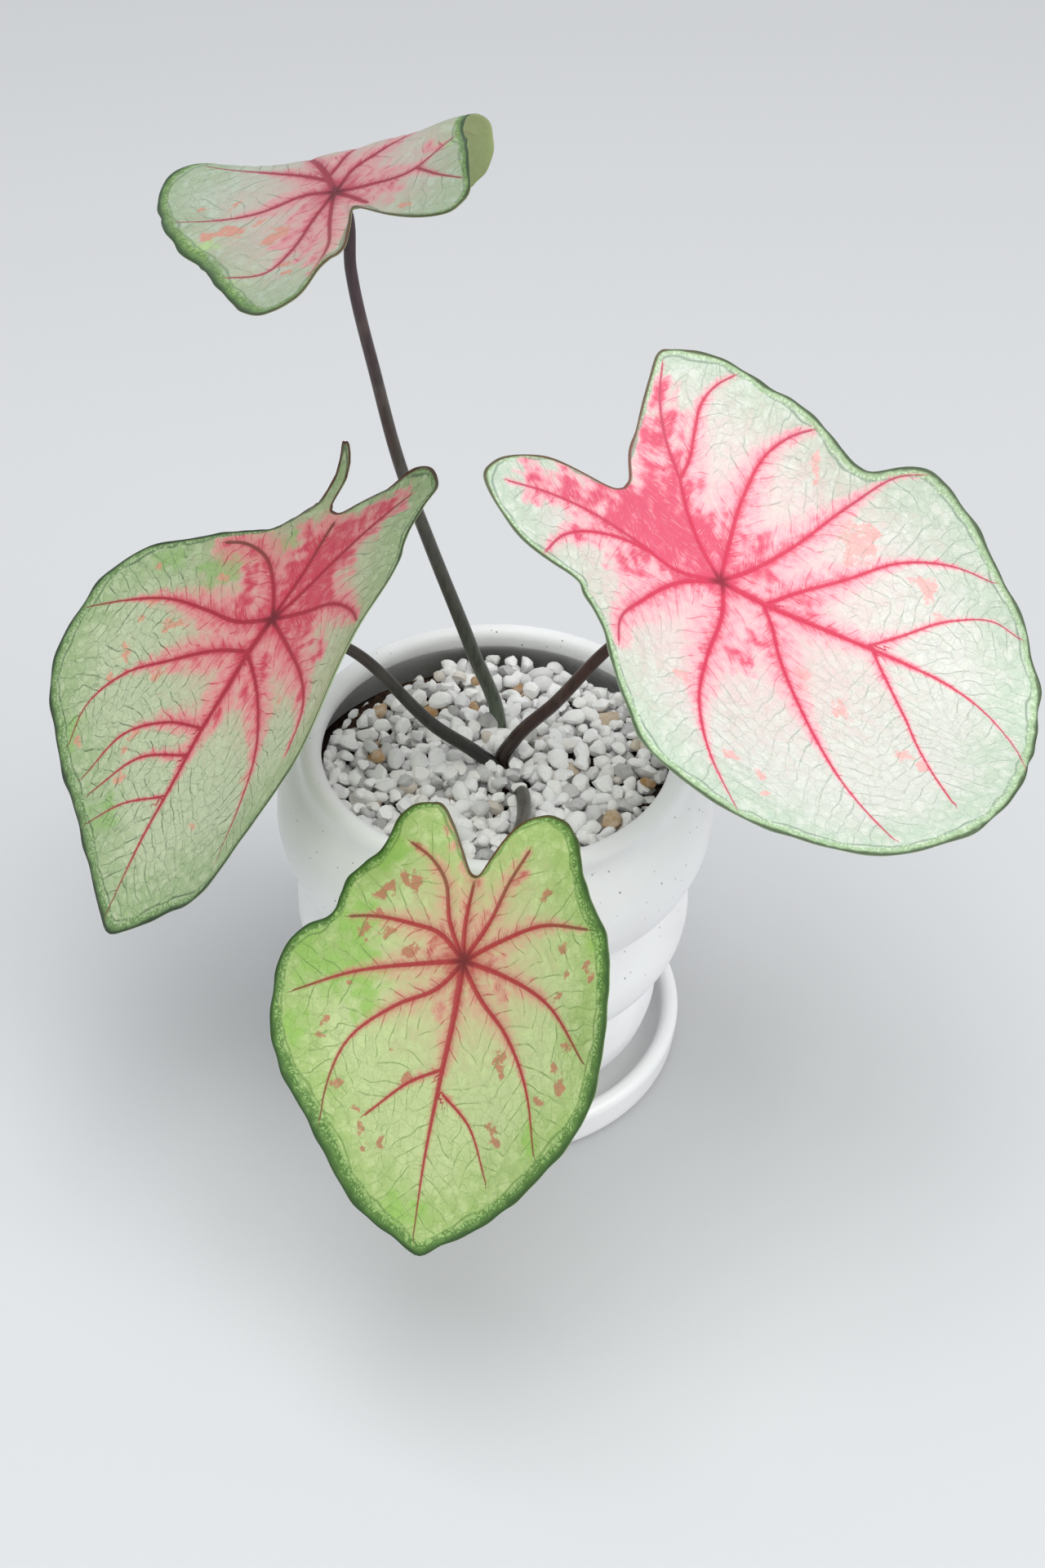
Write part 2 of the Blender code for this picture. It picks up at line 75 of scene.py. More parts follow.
class Leaf(NamedTuple):
    """One leaf: where its blade sits on its stalk, how it faces, its outline, bends and veins.

    outline holds (bearing, reach): the bearing in degrees clockwise from the tip, seen from
    above, and the distance in mm from the joint to the margin. Each bend is (bearing, start,
    radius, angle), as bent() rolls it. Each vein runs through points (bearing, distance).
    """

    joint: tuple
    heading: float
    pitch: float
    roll: float
    outline: tuple
    bends: tuple
    waves: tuple
    stalk: tuple
    veins: tuple


LEAVES = {
    "right": Leaf(
        joint=(56.4, -15.6, 180.2),
        heading=122.3,
        pitch=32.5,
        roll=-3.3,
        outline=(
            (1, 94.8), (8, 96.3), (16, 97), (25, 95), (33, 92.6), (37, 89.9), (42, 86.7), (48, 83.2),
            (53, 81.8), (58, 80.6), (63, 78), (67, 75.7), (71, 73.4), (76, 71), (80, 67.5), (84, 62.4),
            (90, 57.5), (97, 52.8), (104, 49.8), (110, 49.2), (116, 49.3), (120, 49.0), (123, 51),
            (126, 55.1), (130, 61), (135, 66.4), (140, 71), (144, 73), (148, 70.6), (152, 66.2),
            (156, 60.5), (160, 53.5), (163, 46.4), (166, 39.9), (173, 34.9), (179, 34.6), (184, 35.8),
            (191, 40.8), (199, 46.7), (204, 52.6), (208, 59), (211, 64.7), (215, 66), (220, 65.3),
            (227, 64.2), (234, 61.8), (240, 59.6), (248, 58.8), (255, 57.4), (261, 56.4), (268, 55),
            (274, 55.1), (278, 58), (281, 64.5), (284, 69), (289, 72), (294, 74), (299, 76.1),
            (304, 77.8), (310, 80.7), (316, 84.9), (322, 89), (328, 90.6), (333, 92.6), (341, 93.1),
            (351, 93.6),
        ),
        bends=(
            (0, 0, 198, -40),
            (90, 3, 446, -20),
            (-90, 3, 59, -95),
            (180, 3, 340, -20),
            (0, 50, 150, -9),
        ),
        waves=(0.9, 7, 40.0),
        stalk=((4, 2, 92), (2.5, 2, 98), (1.5, 2.5, 104), (5, 3, 111), (16, 0, 127), (30.3, -4, 150)),
        veins=(
            ((-25, 1), (-25, 12), (-26, 29), (-25, 43), (-24, 55), (-22, 66), (-17, 78), (-8, 89), (-1, 94)),
            ((-158, 1), (-160, 7), (-154, 21), (-151, 30), (-152, 41), (-150, 55), (-148, 62)),
            ((-151, 30), (-143, 36), (-140, 43), (-137, 52), (-133, 57), (-129, 60)),
            ((-114, 1), (-113, 13), (-114, 28), (-111, 44), (-107, 50), (-103, 54)),
            ((-76, 1), (-72, 12), (-75, 28), (-78, 47), (-77, 64), (-75, 68)),
            ((-26, 14), (-43, 21), (-53, 39), (-56, 53), (-53, 68), (-49, 78)),
            ((-25, 43), (-32, 51), (-40, 67), (-40, 78), (-36, 87)),
            ((9, 1), (53, 9), (67, 28), (68, 42), (64, 60), (59, 77)),
            ((-25, 13), (-6, 17), (13, 24), (25, 41), (29, 60), (30, 88)),
            ((-25, 45), (-9, 55), (5, 68), (15, 87)),
            ((122, 1), (135, 14), (148, 26), (150, 43), (148, 54), (145, 66)),
            ((145, 21), (145, 31), (136, 49), (128, 57)),
            ((107, 1), (121, 12), (110, 30), (104, 43), (99, 47)),
        ),
    ),
    "left": Leaf(
        joint=(-59.1, -13.5, 163.5),
        heading=215.7,
        pitch=41.7,
        roll=17.9,
        outline=(
            (0, 92), (4, 89.5), (9, 85.6), (16, 81.5), (23, 79), (31, 78.2), (40, 78.8), (48, 78.6),
            (56, 79.6), (63, 78.6), (70, 75.6), (77, 72.2), (82, 70.2), (87, 66), (94, 59.2),
            (100, 50.8), (106, 44.2), (113, 39), (121, 34.8), (132, 31.2), (142, 30), (150, 30.8),
            (157, 31.8), (161, 33), (164, 34.6), (166.0, 38.0), (166.6, 43.5), (167.6, 47.6), (169.4, 48.8),
            (171.2, 47.6), (172.1, 43.5), (172.7, 38), (174.4, 34.2), (177.5, 33), (181, 33.8), (185, 38), (189, 43.5),
            (194, 50), (199, 54.2), (205, 56.2), (211, 56.4), (218, 53), (228, 49.6), (242, 51),
            (258, 54.6), (270, 58.5), (280, 62.4), (294, 64.6), (303, 64.4), (312, 66.5), (319, 68.4),
            (327, 72), (335, 75.9), (340, 78.6), (347, 80.8), (353, 85.6), (357, 89.8),
        ),
        bends=(
            (180, 3, 130, 80),
            (90, 3, 357, -80),
            (-90, 3, 80, -80),
            (168, 41, 9, -50),
        ),
        waves=(0.7, 7, 0.0),
        stalk=((-2, 0, 92), (-1.5, 0, 98), (-1, 0, 104), (-5, -1, 109), (-15.5, -2, 118), (-40, -4.5, 147.5)),
        veins=(
            ((10, 1), (13, 8), (9, 22), (8, 35), (6, 49), (5, 66), (3, 88)),
            ((60, 1), (70, 13), (79, 26), (81, 42), (78, 57), (75, 70)),
            ((16, 11), (42, 17), (54, 38), (55, 52), (49, 68), (43, 74)),
            ((170, 1), (144, 10), (134, 21), (121, 30), (114, 34)),
            ((-132, 1), (-146, 9), (-151, 20), (-154, 33), (-156, 49)),
            ((-163, 1), (-171, 14), (-178, 30)),
            ((-106, 1), (-114, 13), (-115, 22), (-106, 35), (-99, 46)),
            ((-63, 1), (-67, 14), (-67, 28), (-63, 42), (-55, 52)),
            ((14, 11), (-18, 17), (-31, 29), (-34, 41), (-31, 56), (-27, 69)),
            ((8, 34), (27, 41), (36, 56), (33, 72)),
            ((7, 42), (25, 54), (28, 72)),
            ((7, 55), (18, 65), (22, 76)),
        ),
    ),
    "front": Leaf(
        joint=(-6.9, -92.0, 117.5),
        heading=189.7,
        pitch=42.3,
        roll=25.6,
        outline=(
            (0, 72.2), (3, 71.2), (7, 69.4), (12, 68.4), (18, 66.5), (25, 64), (34, 60.4), (45, 58),
            (57, 57.6), (68, 56.6), (78, 54.5), (86, 52.4), (92, 49.2), (96, 45.6), (99, 41.8),
            (103, 40.2), (109, 40.6), (116, 41.4), (124, 40.4), (132, 39.4), (138, 41.2), (144, 43.6),
            (150, 44.6), (155, 43.8), (160, 41.2), (163, 36), (167, 28.9), (171, 24.2), (177, 21.8),
            (183, 23), (187, 27), (191, 32.4), (196, 38), (202, 41.6), (209, 43.2), (218, 42.8),
            (226, 41.4), (236, 40.4), (246, 41), (258, 44), (270, 46.6), (280, 49.2), (290, 51),
            (298, 52.8), (305, 54.6), (312, 56.3), (319, 57.6), (327, 59.2), (334, 60.8), (341, 63),
            (349, 66), (355, 69),
        ),
        bends=(
            (180, 3, 208, 30),
            (90, 3, 188, -25),
            (-90, 3, 129, -30),
        ),
        waves=(0.8, 8, 10.0),
        stalk=((5, -6, 91), (6.5, -9, 98), (7.4, -13, 105), (8, -27, 110), (5.5, -46, 116.6), (1.5, -63, 118.6),
               (-2.8, -80, 117.2)),
        veins=(
            ((0, 1), (1, 12), (3, 30), (3, 49), (2, 68)),
            ((24, 1), (40, 9), (54, 22), (52, 38), (43, 50), (38, 56)),
            ((95, 1), (82, 12), (79, 33), (75, 49)),
            ((150, 1), (127, 11), (116, 18), (106, 31), (103, 35)),
            ((148, 1), (149, 11), (155, 22), (150, 29), (144, 35)),
            ((170, 1), (173, 8), (178, 20)),
            ((-160, 1), (-150, 12), (-155, 23), (-155, 32)),
            ((-130, 1), (-121, 11), (-116, 25), (-107, 38)),
            ((-95, 1), (-80, 12), (-74, 29), (-64, 46)),
            ((-15, 1), (-38, 11), (-44, 22), (-41, 37), (-35, 53)),
            ((3, 27), (17, 32), (28, 46)),
            ((0, 33), (-12, 40), (-17, 54)),
        ),
    ),
    "top": Leaf(
        joint=(-41.0, 11.7, 271.0),
        heading=-12.6,
        pitch=0.2,
        roll=-29.2,
        outline=(
            (0, 51), (13, 46), (30, 44), (48, 46), (66, 45), (80, 41), (90, 36.5), (98, 34.8),
            (108, 35.4), (116, 37.6), (124, 40), (133, 43), (140, 46.6), (146, 47.8), (151, 46),
            (155, 38), (158, 29), (161, 20), (165, 14.6), (171, 14.2), (177, 17), (181, 20.5),
            (184, 24.6), (188, 27.6), (193, 29.4), (197, 34), (200, 42), (204, 46.4), (209, 48.6),
            (214, 48.2), (220, 45.6), (227, 42.6), (234, 40.6), (242, 39), (250, 37.6), (257, 37.2),
            (264, 38), (270, 40), (276, 41.4), (285, 44.4), (295, 47.6), (305, 52.4), (314, 56),
            (330, 54), (346, 51),
        ),
        bends=(
            (180, 2, 525, -20),
            (90, 3, 345, -20),
            (-90, 3, 89, -60),
            (35.5, 12, 14, 95),
        ),
        waves=(0.8, 9, 60.0),
        stalk=((1, 12, 91), (1, 16.5, 98), (0.5, 18.7, 105), (-7, 17, 131), (-19.5, 16, 169.5), (-26.8, 14.5, 194),
               (-32.5, 13, 221), (-37.9, 11, 251.5)),
        veins=(
            ((0, 1), (-5, 15), (-8, 26), (-4, 45)),
            ((-6, 7), (-20, 16), (-30, 33), (-36, 50)),
            ((-45, 1), (-48, 10), (-67, 22), (-69, 42)),
            ((-124, 1), (-132, 9), (-138, 21), (-135, 30), (-122, 36)),
            ((-138, 1), (-163, 12), (-166, 23), (-160, 36)),
            ((2, 9), (20, 14), (27, 26), (32, 38)),
            ((52, 1), (48, 8), (66, 14), (76, 26), (74, 38)),
            ((134, 1), (127, 10), (122, 24), (107, 32)),
            ((159, 1), (154, 9), (155, 15)),
            ((122, 24), (132, 33), (136, 42)),
        ),
    ),
}


class Marks(NamedTuple):
    """Where a blade's colours lie: spots of (bearing, distance, radius), and the margin's (bearing, width)."""

    pools: tuple
    patches: tuple
    greens: tuple
    band: tuple


MARKS = {
    "right": Marks(
        pools=(
            (178, 8, 11), (174, 20, 12), (170, 30, 10), (150, 20, 9), (160, 32, 9), (153, 46, 7), (148, 58, 5),
            (-164, 20, 9), (-156, 32, 8), (-150, 44, 6), (155, 62, 3), (138, 44, 4), (-158, 44, 4), (-150, 54, 4), (126, 31, 5), (-92, 20, 5), (49, 24, 5),
            (-37, 25, 5), (20, 20, 5), (-65, 14, 6), (-130, 12, 7),
        ),
        patches=(
            (-97, 49, 2.0), (-94, 46, 2.0), (-92, 43, 1.8), (58, 59, 2.5), (51, 63, 2.2), (52, 70, 1.9), (9, 66, 3.2),
            (10, 72, 2.4), (-68, 47, 6.0), (-62, 42, 4.5), (-50, 58, 3.4), (-47, 60, 3.0), (13, 33, 4.0),
            (10, 45, 3.6), (-40, 62, 2.5), (75, 40, 3.0),
        ),
        greens=(),
        band=((0, 2.2), (60, 2.4), (110, 1.5), (150, 1.1), (166, 0.4), (180, 0.3), (195, 0.4), (212, 1.4), (260, 2.2),
              (310, 2.3)),
    ),
    "left": Marks(
        pools=(
            (-170, 15, 8), (-165, 23, 8), (-160, 31, 7), (-157, 42, 6), (-140, 20, 7), (-121, 15, 7), (178, 22, 6),
            (95, 14, 3.6), (118, 16, 5), (-15, 21, 4), (-72, 18, 5.5), (174, 9, 4.5), (-85, 29, 4), (1, 29, 3),
            (-65, 33, 3.5), (-100, 12, 6), (-30, 14, 5), (25, 14, 4), (70, 12, 4),
        ),
        patches=(
            (91, 50, 2.2), (80, 47, 2.4), (73, 50, 2.2), (71, 37, 3.4), (62, 53, 3.0), (49, 40, 3.4), (42, 70, 2.6),
            (34, 52, 2.8), (30, 57, 2.4), (25, 61, 3.0), (-10, 58, 2.0), (-50, 27, 2.6), (-28, 46, 2.0), (102, 26, 2.4),
            (55, 57, 2.4),
        ),
        greens=((100, 30, 7), (95, 48, 6), (150, 20, 6), (118, 24, 6), (20, 70, 7), (45, 74, 6)),
        band=((0, 3.0), (14, 3.4), (40, 3.4), (75, 3.0), (100, 1.4), (125, 1.2), (155, 0.8), (175, 0.5), (192, 0.8),
              (210, 1.4), (240, 0.9), (300, 0.9), (335, 1.6), (350, 2.6)),
    ),
    "front": Marks(
        pools=(
            (179, 19, 3), (176, 12, 3), (-170, 7, 4), (170, 24, 2.2), (164, 30, 2.2), (161, 36, 2.0), (-152, 24, 3.6),
            (-155, 12, 4), (122, 9, 4), (-66, 13, 4), (19, 14, 2.6), (-100, 8, 4), (95, 10, 4), (-5, 10, 4), (0, 22, 2),
        ),
        patches=(
            (118, 30, 2.4), (124, 30, 2.0), (110, 28, 1.6), (98, 30, 2.5), (102, 24, 2.5), (139, 25, 3.2), (133, 28, 2.2),
            (145, 33, 1.6), (96, 16, 2.7), (75, 33, 1.4), (63, 42, 2.2), (58, 44, 1.5), (42, 47, 2.0), (31, 47, 1.6),
            (27, 50, 1.8), (19, 50, 2.0), (23, 53, 1.6), (21, 32, 2.1), (35, 29, 0.9), (-21, 42, 2.0), (-23, 45, 2.0),
            (-36, 27, 2.8), (-33, 31, 1.8), (-55, 40, 2.6), (-52, 44, 2.0), (-43, 43, 2.2), (-79, 31, 1.8),
            (-90, 33, 1.8), (-93, 38, 2.0), (-90, 41, 1.5), (-101, 30, 1.8), (-64, 39, 2.0), (-130, 28, 2.1),
        ),
        greens=(
            (105, 33, 6), (88, 28, 7), (81, 40, 7), (66, 29, 6), (88, 47, 6), (134, 38, 7), (64, 50, 5), (2, 62, 5),
            (9, 63, 4), (-35, 50, 4), (-100, 41, 4),
        ),
        band=((0, 2.6), (12, 3.8), (30, 4.8), (50, 4.0), (75, 2.6), (100, 1.8), (125, 2.4), (150, 1.6), (163, 0.5),
              (180, 0.3), (190, 0.6), (205, 1.6), (225, 2.8), (260, 3.2), (300, 3.4), (330, 3.4), (350, 2.8)),
    ),
    "top": Marks(
        pools=(
            (-162, 4, 6), (-151, 20, 5.5), (-128, 18, 4.5), (136, 19, 5.5), (38, 36, 5), (-163, 30, 5), (108, 27, 3.5),
            (80, 9, 4), (120, 12, 6), (-150, 10, 6), (0, 12, 5), (-90, 10, 4), (60, 22, 4),
        ),
        patches=(
            (-83, 33, 2.6), (-83, 29, 3.0), (-84, 25, 2.6), (-107, 16, 3.4), (-110, 20, 3.0), (-56, 30, 2.4),
            (-143, 27, 2.2), (-146, 31, 1.8), (-60, 38, 1.8), (151, 30, 2.4), (58, 30, 2.8), (-81, 20, 2.0),
        ),
        greens=((-90, 36, 5), (-130, 42, 5), (110, 33, 4)),
        band=((0, 2.2), (60, 2.4), (100, 2.0), (130, 1.9), (150, 0.9), (165, 0.3), (185, 0.4), (197, 0.9), (210, 2.2),
              (232, 3.2), (262, 3.6), (300, 2.6)),
    ),
}


class Tints(NamedTuple):
    """A blade's colours, then the blush's spread in mm at the joint and what is left of it at the margin.

    The last ones say how strongly the blush, the patches and the fine net show.
    """

    ground: str
    rim: str
    blush: str
    glow: str
    vein: str
    tail: str
    patch: str
    net: str
    margin: str
    cell: str
    edge: str
    green: str
    under: str
    blush_spread: float
    blush_tail: float
    blush_share: float
    pool_share: float
    flush_reach: float
    patch_share: float
    net_share: float


TINTS = {
    "right": Tints(
        ground="#c6c7bf", rim="#b2c1ae", blush="#e59aa6", glow="#c9405f", vein="#c02f4c", tail="#b2455a",
        patch="#e69a98", net="#7b8f7a", margin="#90ab80", cell="#c0d2b4", edge="#3c4d30", green="#8fb868",
        under="#c3d3b6", blush_spread=9.0, blush_tail=0.35, blush_share=1.0, pool_share=1.45,
        flush_reach=58.0, patch_share=0.72, net_share=0.60,
    ),
    "left": Tints(
        ground="#abb594", rim="#90a577", blush="#d17d82", glow="#b82f47", vein="#981e30", tail="#6d3a2c",
        patch="#cd8873", net="#48603e", margin="#597842", cell="#9db385", edge="#26381f", green="#86a764",
        under="#a8bd8c", blush_spread=8.5, blush_tail=0.05, blush_share=1.0, pool_share=1.40,
        flush_reach=38.0, patch_share=0.80, net_share=0.90,
    ),
    "front": Tints(
        ground="#adbb84", rim="#95ae66", blush="#c08d79", glow="#a5423a", vein="#97292a", tail="#6e4a2c",
        patch="#a96b53", net="#65833f", margin="#426b26", cell="#94b46c", edge="#2d4c1b", green="#86ae50",
        under="#a9bd80", blush_spread=5.5, blush_tail=0.0, blush_share=0.65, pool_share=1.0,
        flush_reach=30.0, patch_share=0.88, net_share=0.75,
    ),
    "top": Tints(
        ground="#9ca596", rim="#8a9a7d", blush="#bb7a7f", glow="#9d2f44", vein="#842335", tail="#7d3636",
        patch="#b67868", net="#66775f", margin="#496a30", cell="#809c5e", edge="#273f1f", green="#93ad72",
        under="#b0bf86", blush_spread=6.5, blush_tail=0.15, blush_share=0.85, pool_share=0.90,
        flush_reach=40.0, patch_share=0.85, net_share=0.70,
    ),
}


def linear(code):
    """A colour written as #rrggbb, in linear light, with full opacity."""
    shares = [int(code[place:place + 2], 16) / 255 for place in (1, 3, 5)]
    return (*[share / 12.92 if share <= 0.04045 else ((share + 0.055) / 1.055) ** 2.4 for share in shares], 1.0)


def smooth_curve(knots, values, places):
    """A cubic through (knots, values) whose slope at a knot is that of its two neighbours."""
    slopes = np.gradient(values, knots)
    index = np.clip(np.searchsorted(knots, places, side="right") - 1, 0, len(knots) - 2)
    width = knots[index + 1] - knots[index]
    t = (places - knots[index]) / width
    rise = values[index] * (1 + 2 * t) * (1 - t) ** 2 + values[index + 1] * t**2 * (3 - 2 * t)
    return rise + width * (slopes[index] * t * (1 - t) ** 2 + slopes[index + 1] * t**2 * (t - 1))


def through(points, count):
    """count points along a smooth curve through the given ones, evenly spaced by chord length."""
    points = np.asarray(points, dtype=float)
    run = np.concatenate([[0], np.cumsum(np.linalg.norm(np.diff(points, axis=0), axis=1))])
    places = np.linspace(0, run[-1], count)
    return np.stack([smooth_curve(run, points[:, axis], places) for axis in range(points.shape[1])], axis=1)


def smoothstep(value, low, high):
    """0 below low, 1 above high, and a smooth rise between."""
    t = np.clip((value - low) / (high - low), 0, 1)
    return t * t * (3 - 2 * t)


def flat_of(bearing, distance):
    """(right, forward) in mm on the flat blade, from a bearing in degrees and a distance."""
    angle = np.radians(bearing)
    return np.stack([distance * np.sin(angle), distance * np.cos(angle)], axis=-1)


def surface_mesh(name, grid, poles=None, fields=None):
    """A mesh of quads over a grid of points in mm, rows by columns, whose columns wrap round.

    With poles, the first and last rows close in a fan to one point each. Without, the last
    row joins the first. fields holds a value for each grid point, stored as attributes.
    """
    rows, columns = grid.shape[:2]
    points = grid.reshape(-1, 3)
    row = np.arange(rows - 1 if poles is not None else rows)[:, None]
    column = np.arange(columns)[None]
    after = (column + 1) % columns
    below = (row + 1) % rows
    quads = np.stack([row * columns + column, below * columns + column,
                      below * columns + after, row * columns + after], axis=-1).reshape(-1, 4)
    fans = np.empty((0, 3), dtype=int)
    if poles is not None:
        points = np.concatenate([points, np.asarray(poles)])
        first, last = rows * columns, rows * columns + 1
        end = (rows - 1) * columns
        head = np.stack([np.full(columns, first), column[0], after[0]], axis=1)
        tail = np.stack([np.full(columns, last), end + after[0], end + column[0]], axis=1)
        fans = np.concatenate([head, tail])
    mesh = mesh_of(name, points, quads, fans)
    for label, (values, at_poles) in (fields or {}).items():
        values = np.asarray(values, dtype=np.float32).reshape(rows * columns, -1)
        if poles is not None:
            values = np.concatenate([values, np.asarray(at_poles, dtype=np.float32).reshape(2, -1)])
        kind = "FLOAT" if values.shape[1] == 1 else "FLOAT_VECTOR"
        layer = mesh.attributes.new(label, kind, "POINT")
        layer.data.foreach_set("value" if kind == "FLOAT" else "vector", np.ascontiguousarray(values).ravel())
    return mesh


def mesh_of(name, points, quads, triangles):
    """A smooth-shaded mesh from points in mm and index arrays of its four- and three-sided faces."""
    mesh = bpy.data.meshes.new(name)
    loops = np.concatenate([np.ravel(quads), np.ravel(triangles)]).astype(np.int32)
    sizes = np.concatenate([np.full(len(quads), 4), np.full(len(triangles), 3)]).astype(np.int32)
    mesh.vertices.add(len(points))
    mesh.vertices.foreach_set("co", (np.asarray(points) * MM).astype(np.float32).ravel())
    mesh.loops.add(len(loops))
    mesh.loops.foreach_set("vertex_index", loops)
    mesh.polygons.add(len(sizes))
    mesh.polygons.foreach_set("loop_start", np.concatenate([[0], np.cumsum(sizes)[:-1]]).astype(np.int32))
    mesh.update(calc_edges=True)
    mesh.validate()
    mesh.shade_smooth()
    return mesh


def add_piece(name, mesh, finish, node):
    """Puts a mesh into the scene as a piece that stands for a node and rides on the body."""
    piece = bpy.data.objects.new(name, mesh)
    bpy.context.scene.collection.objects.link(piece)
    mesh.materials.append(finish)
    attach(piece, "root")
    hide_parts(node)
    return piece


class Finish:
    """A material under construction: short ways to add and join its nodes."""

    def __init__(self, name, roughness=0.5, specular=0.5):
        self.material = bpy.data.materials.new(name)
        self.material.use_nodes = True
        self.tree = self.material.node_tree
        self.shader = self.tree.nodes["Principled BSDF"]
        self.set("Roughness", roughness)
        self.set("Specular IOR Level", specular)

    def set(self, socket, value):
        if isinstance(value, bpy.types.NodeSocket):
            self.tree.links.new(value, self.shader.inputs[socket])
        else:
            self.shader.inputs[socket].default_value = value

    def node(self, kind, inputs=(), output=0, **settings):
        made = self.tree.nodes.new(kind)
        for key, value in settings.items():
            setattr(made, key, value)
        for key, value in dict(inputs).items():
            if isinstance(value, bpy.types.NodeSocket):
                self.tree.links.new(value, made.inputs[key])
            else:
                made.inputs[key].default_value = value
        return made.outputs[output]

    def math(self, operation, *values, clamp=False):
        return self.node("ShaderNodeMath", enumerate(values), operation=operation, use_clamp=clamp)

    def field(self, label, output="Fac"):
        return self.node("ShaderNodeAttribute", output=output, attribute_name=label)

    def place(self):
        return self.node("ShaderNodeTexCoord", output="Object")

    def noise(self, at, scale, detail=2.0, distortion=0.0, roughness=0.5, output="Fac"):
        inputs = {"Vector": at, "Scale": scale, "Detail": detail, "Distortion": distortion, "Roughness": roughness}
        return self.node("ShaderNodeTexNoise", inputs, output=output)

    def cells(self, at, scale, feature="F1", output="Distance", jitter=1.0):
        inputs = {"Vector": at, "Scale": scale, "Randomness": jitter}
        return self.node("ShaderNodeTexVoronoi", inputs, output=output, feature=feature)

    def step(self, value, low, high, start=0.0, end=1.0):
        """start below low, end above high, with a smooth change between."""
        inputs = {"Value": value, "From Min": low, "From Max": high, "To Min": start, "To Max": end}
        return self.node("ShaderNodeMapRange", inputs, interpolation_type="SMOOTHSTEP")

    def mix(self, share, first, second):
        made = self.tree.nodes.new("ShaderNodeMix")
        made.data_type = "RGBA"
        for socket, value in ((made.inputs[0], share), (made.inputs[6], first), (made.inputs[7], second)):
            if isinstance(value, bpy.types.NodeSocket):
                self.tree.links.new(value, socket)
            else:
                socket.default_value = value
        return made.outputs[2]

    def scaled(self, at, factor):
        return self.node("ShaderNodeVectorMath", {0: at, 3: factor}, operation="SCALE")

    def shifted(self, at, by):
        return self.node("ShaderNodeVectorMath", {0: at, 1: by}, operation="ADD")

    def bump(self, height, strength, depth):
        normal = self.node("ShaderNodeBump", {"Height": height, "Strength": strength, "Distance": depth})
        self.set("Normal", normal)


def blade_axes(leaf):
    """The blade's own axes in the world, as rows: to its right, to its tip, and its upper side."""
    heading, pitch, roll = (math.radians(angle) for angle in (leaf.heading, leaf.pitch, leaf.roll))
    tip = np.array([math.sin(heading) * math.cos(pitch), math.cos(heading) * math.cos(pitch), -math.sin(pitch)])
    level = np.array([math.cos(heading), -math.sin(heading), 0.0])
    above = np.cross(level, tip)
    right = math.cos(roll) * level - math.sin(roll) * above
    return np.stack([right, tip, math.sin(roll) * level + math.cos(roll) * above])


def reach_at(outline, bearings):
    """The distance from joint to margin at each bearing, on a smooth closed curve through the outline."""
    knots = np.array([bearing for bearing, _ in outline], dtype=float)
    reaches = np.array([reach for _, reach in outline], dtype=float)
    knots = np.concatenate([knots[-3:] - 360, knots, knots[:3] + 360])
    reaches = np.concatenate([reaches[-3:], reaches, reaches[:3]])
    return smooth_curve(knots, reaches, bearings)


def bent(points, bearing, start, radius, angle):
    """Rolls what lies beyond a line in the blade down round a roll, or up if the angle is negative.

    The line is square to the bearing, start from the joint. Beyond it, a distance s along
    the bearing becomes an arc of the given radius, up to the angle, and then runs straight.
    """
    direction = np.array([math.sin(math.radians(bearing)), math.cos(math.radians(bearing))])
    sign = math.copysign(1.0, angle)
    beyond = np.maximum(points[:, :2] @ direction - start, 0)
    turn = np.minimum(beyond / radius, abs(math.radians(angle)))
    straight = beyond - radius * turn
    lift = np.where(beyond > 0, points[:, 2], 0.0)
    forward = radius * np.sin(turn) + straight * np.cos(turn) - beyond + sign * lift * np.sin(turn)
    drop = radius * (1 - np.cos(turn)) + straight * np.sin(turn)
    moved = points.copy()
    moved[:, :2] += forward[:, None] * direction
    moved[:, 2] += lift * (np.cos(turn) - 1) - sign * drop
    return moved


def blade_surface(leaf, flat, lift):
    """Where points of the flat blade lie in the world, each raised by lift off the blade's mid surface.

    The margin ripples: height times the cube of the share of the reach, times a sine of the
    bearing. Then the blade is bent, turned to face its way and moved to the joint.
    """
    height, count, phase = leaf.waves
    bearings = np.degrees(np.arctan2(flat[:, 0], flat[:, 1])) % 360
    share = np.hypot(flat[:, 0], flat[:, 1]) / reach_at(leaf.outline, bearings)
    ripple = height * share**3 * np.sin(np.radians(count * bearings + phase))
    points = np.column_stack([flat, ripple + lift])
    for bend in leaf.bends:
        points = bent(points, *bend)
    return np.array(leaf.joint) + points @ blade_axes(leaf)


def nearest_on(points, widths, flat):
    """For each point of the blade, what it finds on a line with these points and half widths.

    That is the distance to the closest of the line's straight pieces, the same with a sign
    for the side, the run along the line to there, and the half width there.
    """
    best, signed = np.full(len(flat), np.inf), np.zeros(len(flat))
    run, half = np.zeros(len(flat)), np.zeros(len(flat))
    lengths = np.maximum(np.linalg.norm(np.diff(points, axis=0), axis=1), 1e-9)
    starts = np.concatenate([[0], np.cumsum(lengths)])
    for index, length in enumerate(lengths):
        along = (points[index + 1] - points[index]) / length
        offset = flat - points[index]
        t = np.clip(offset @ along, 0, length)
        distance = np.hypot(*(offset - t[:, None] * along).T)
        nearer = distance < best
        side = np.where(offset[:, 0] * along[1] < offset[:, 1] * along[0], -1.0, 1.0)
        best = np.where(nearer, distance, best)
        signed = np.where(nearer, distance * side, signed)
        run = np.where(nearer, starts[index] + t, run)
        half = np.where(nearer, widths[index] + (widths[index + 1] - widths[index]) * t / length, half)
    return np.stack([best, signed, run, half, starts[-1] - run])


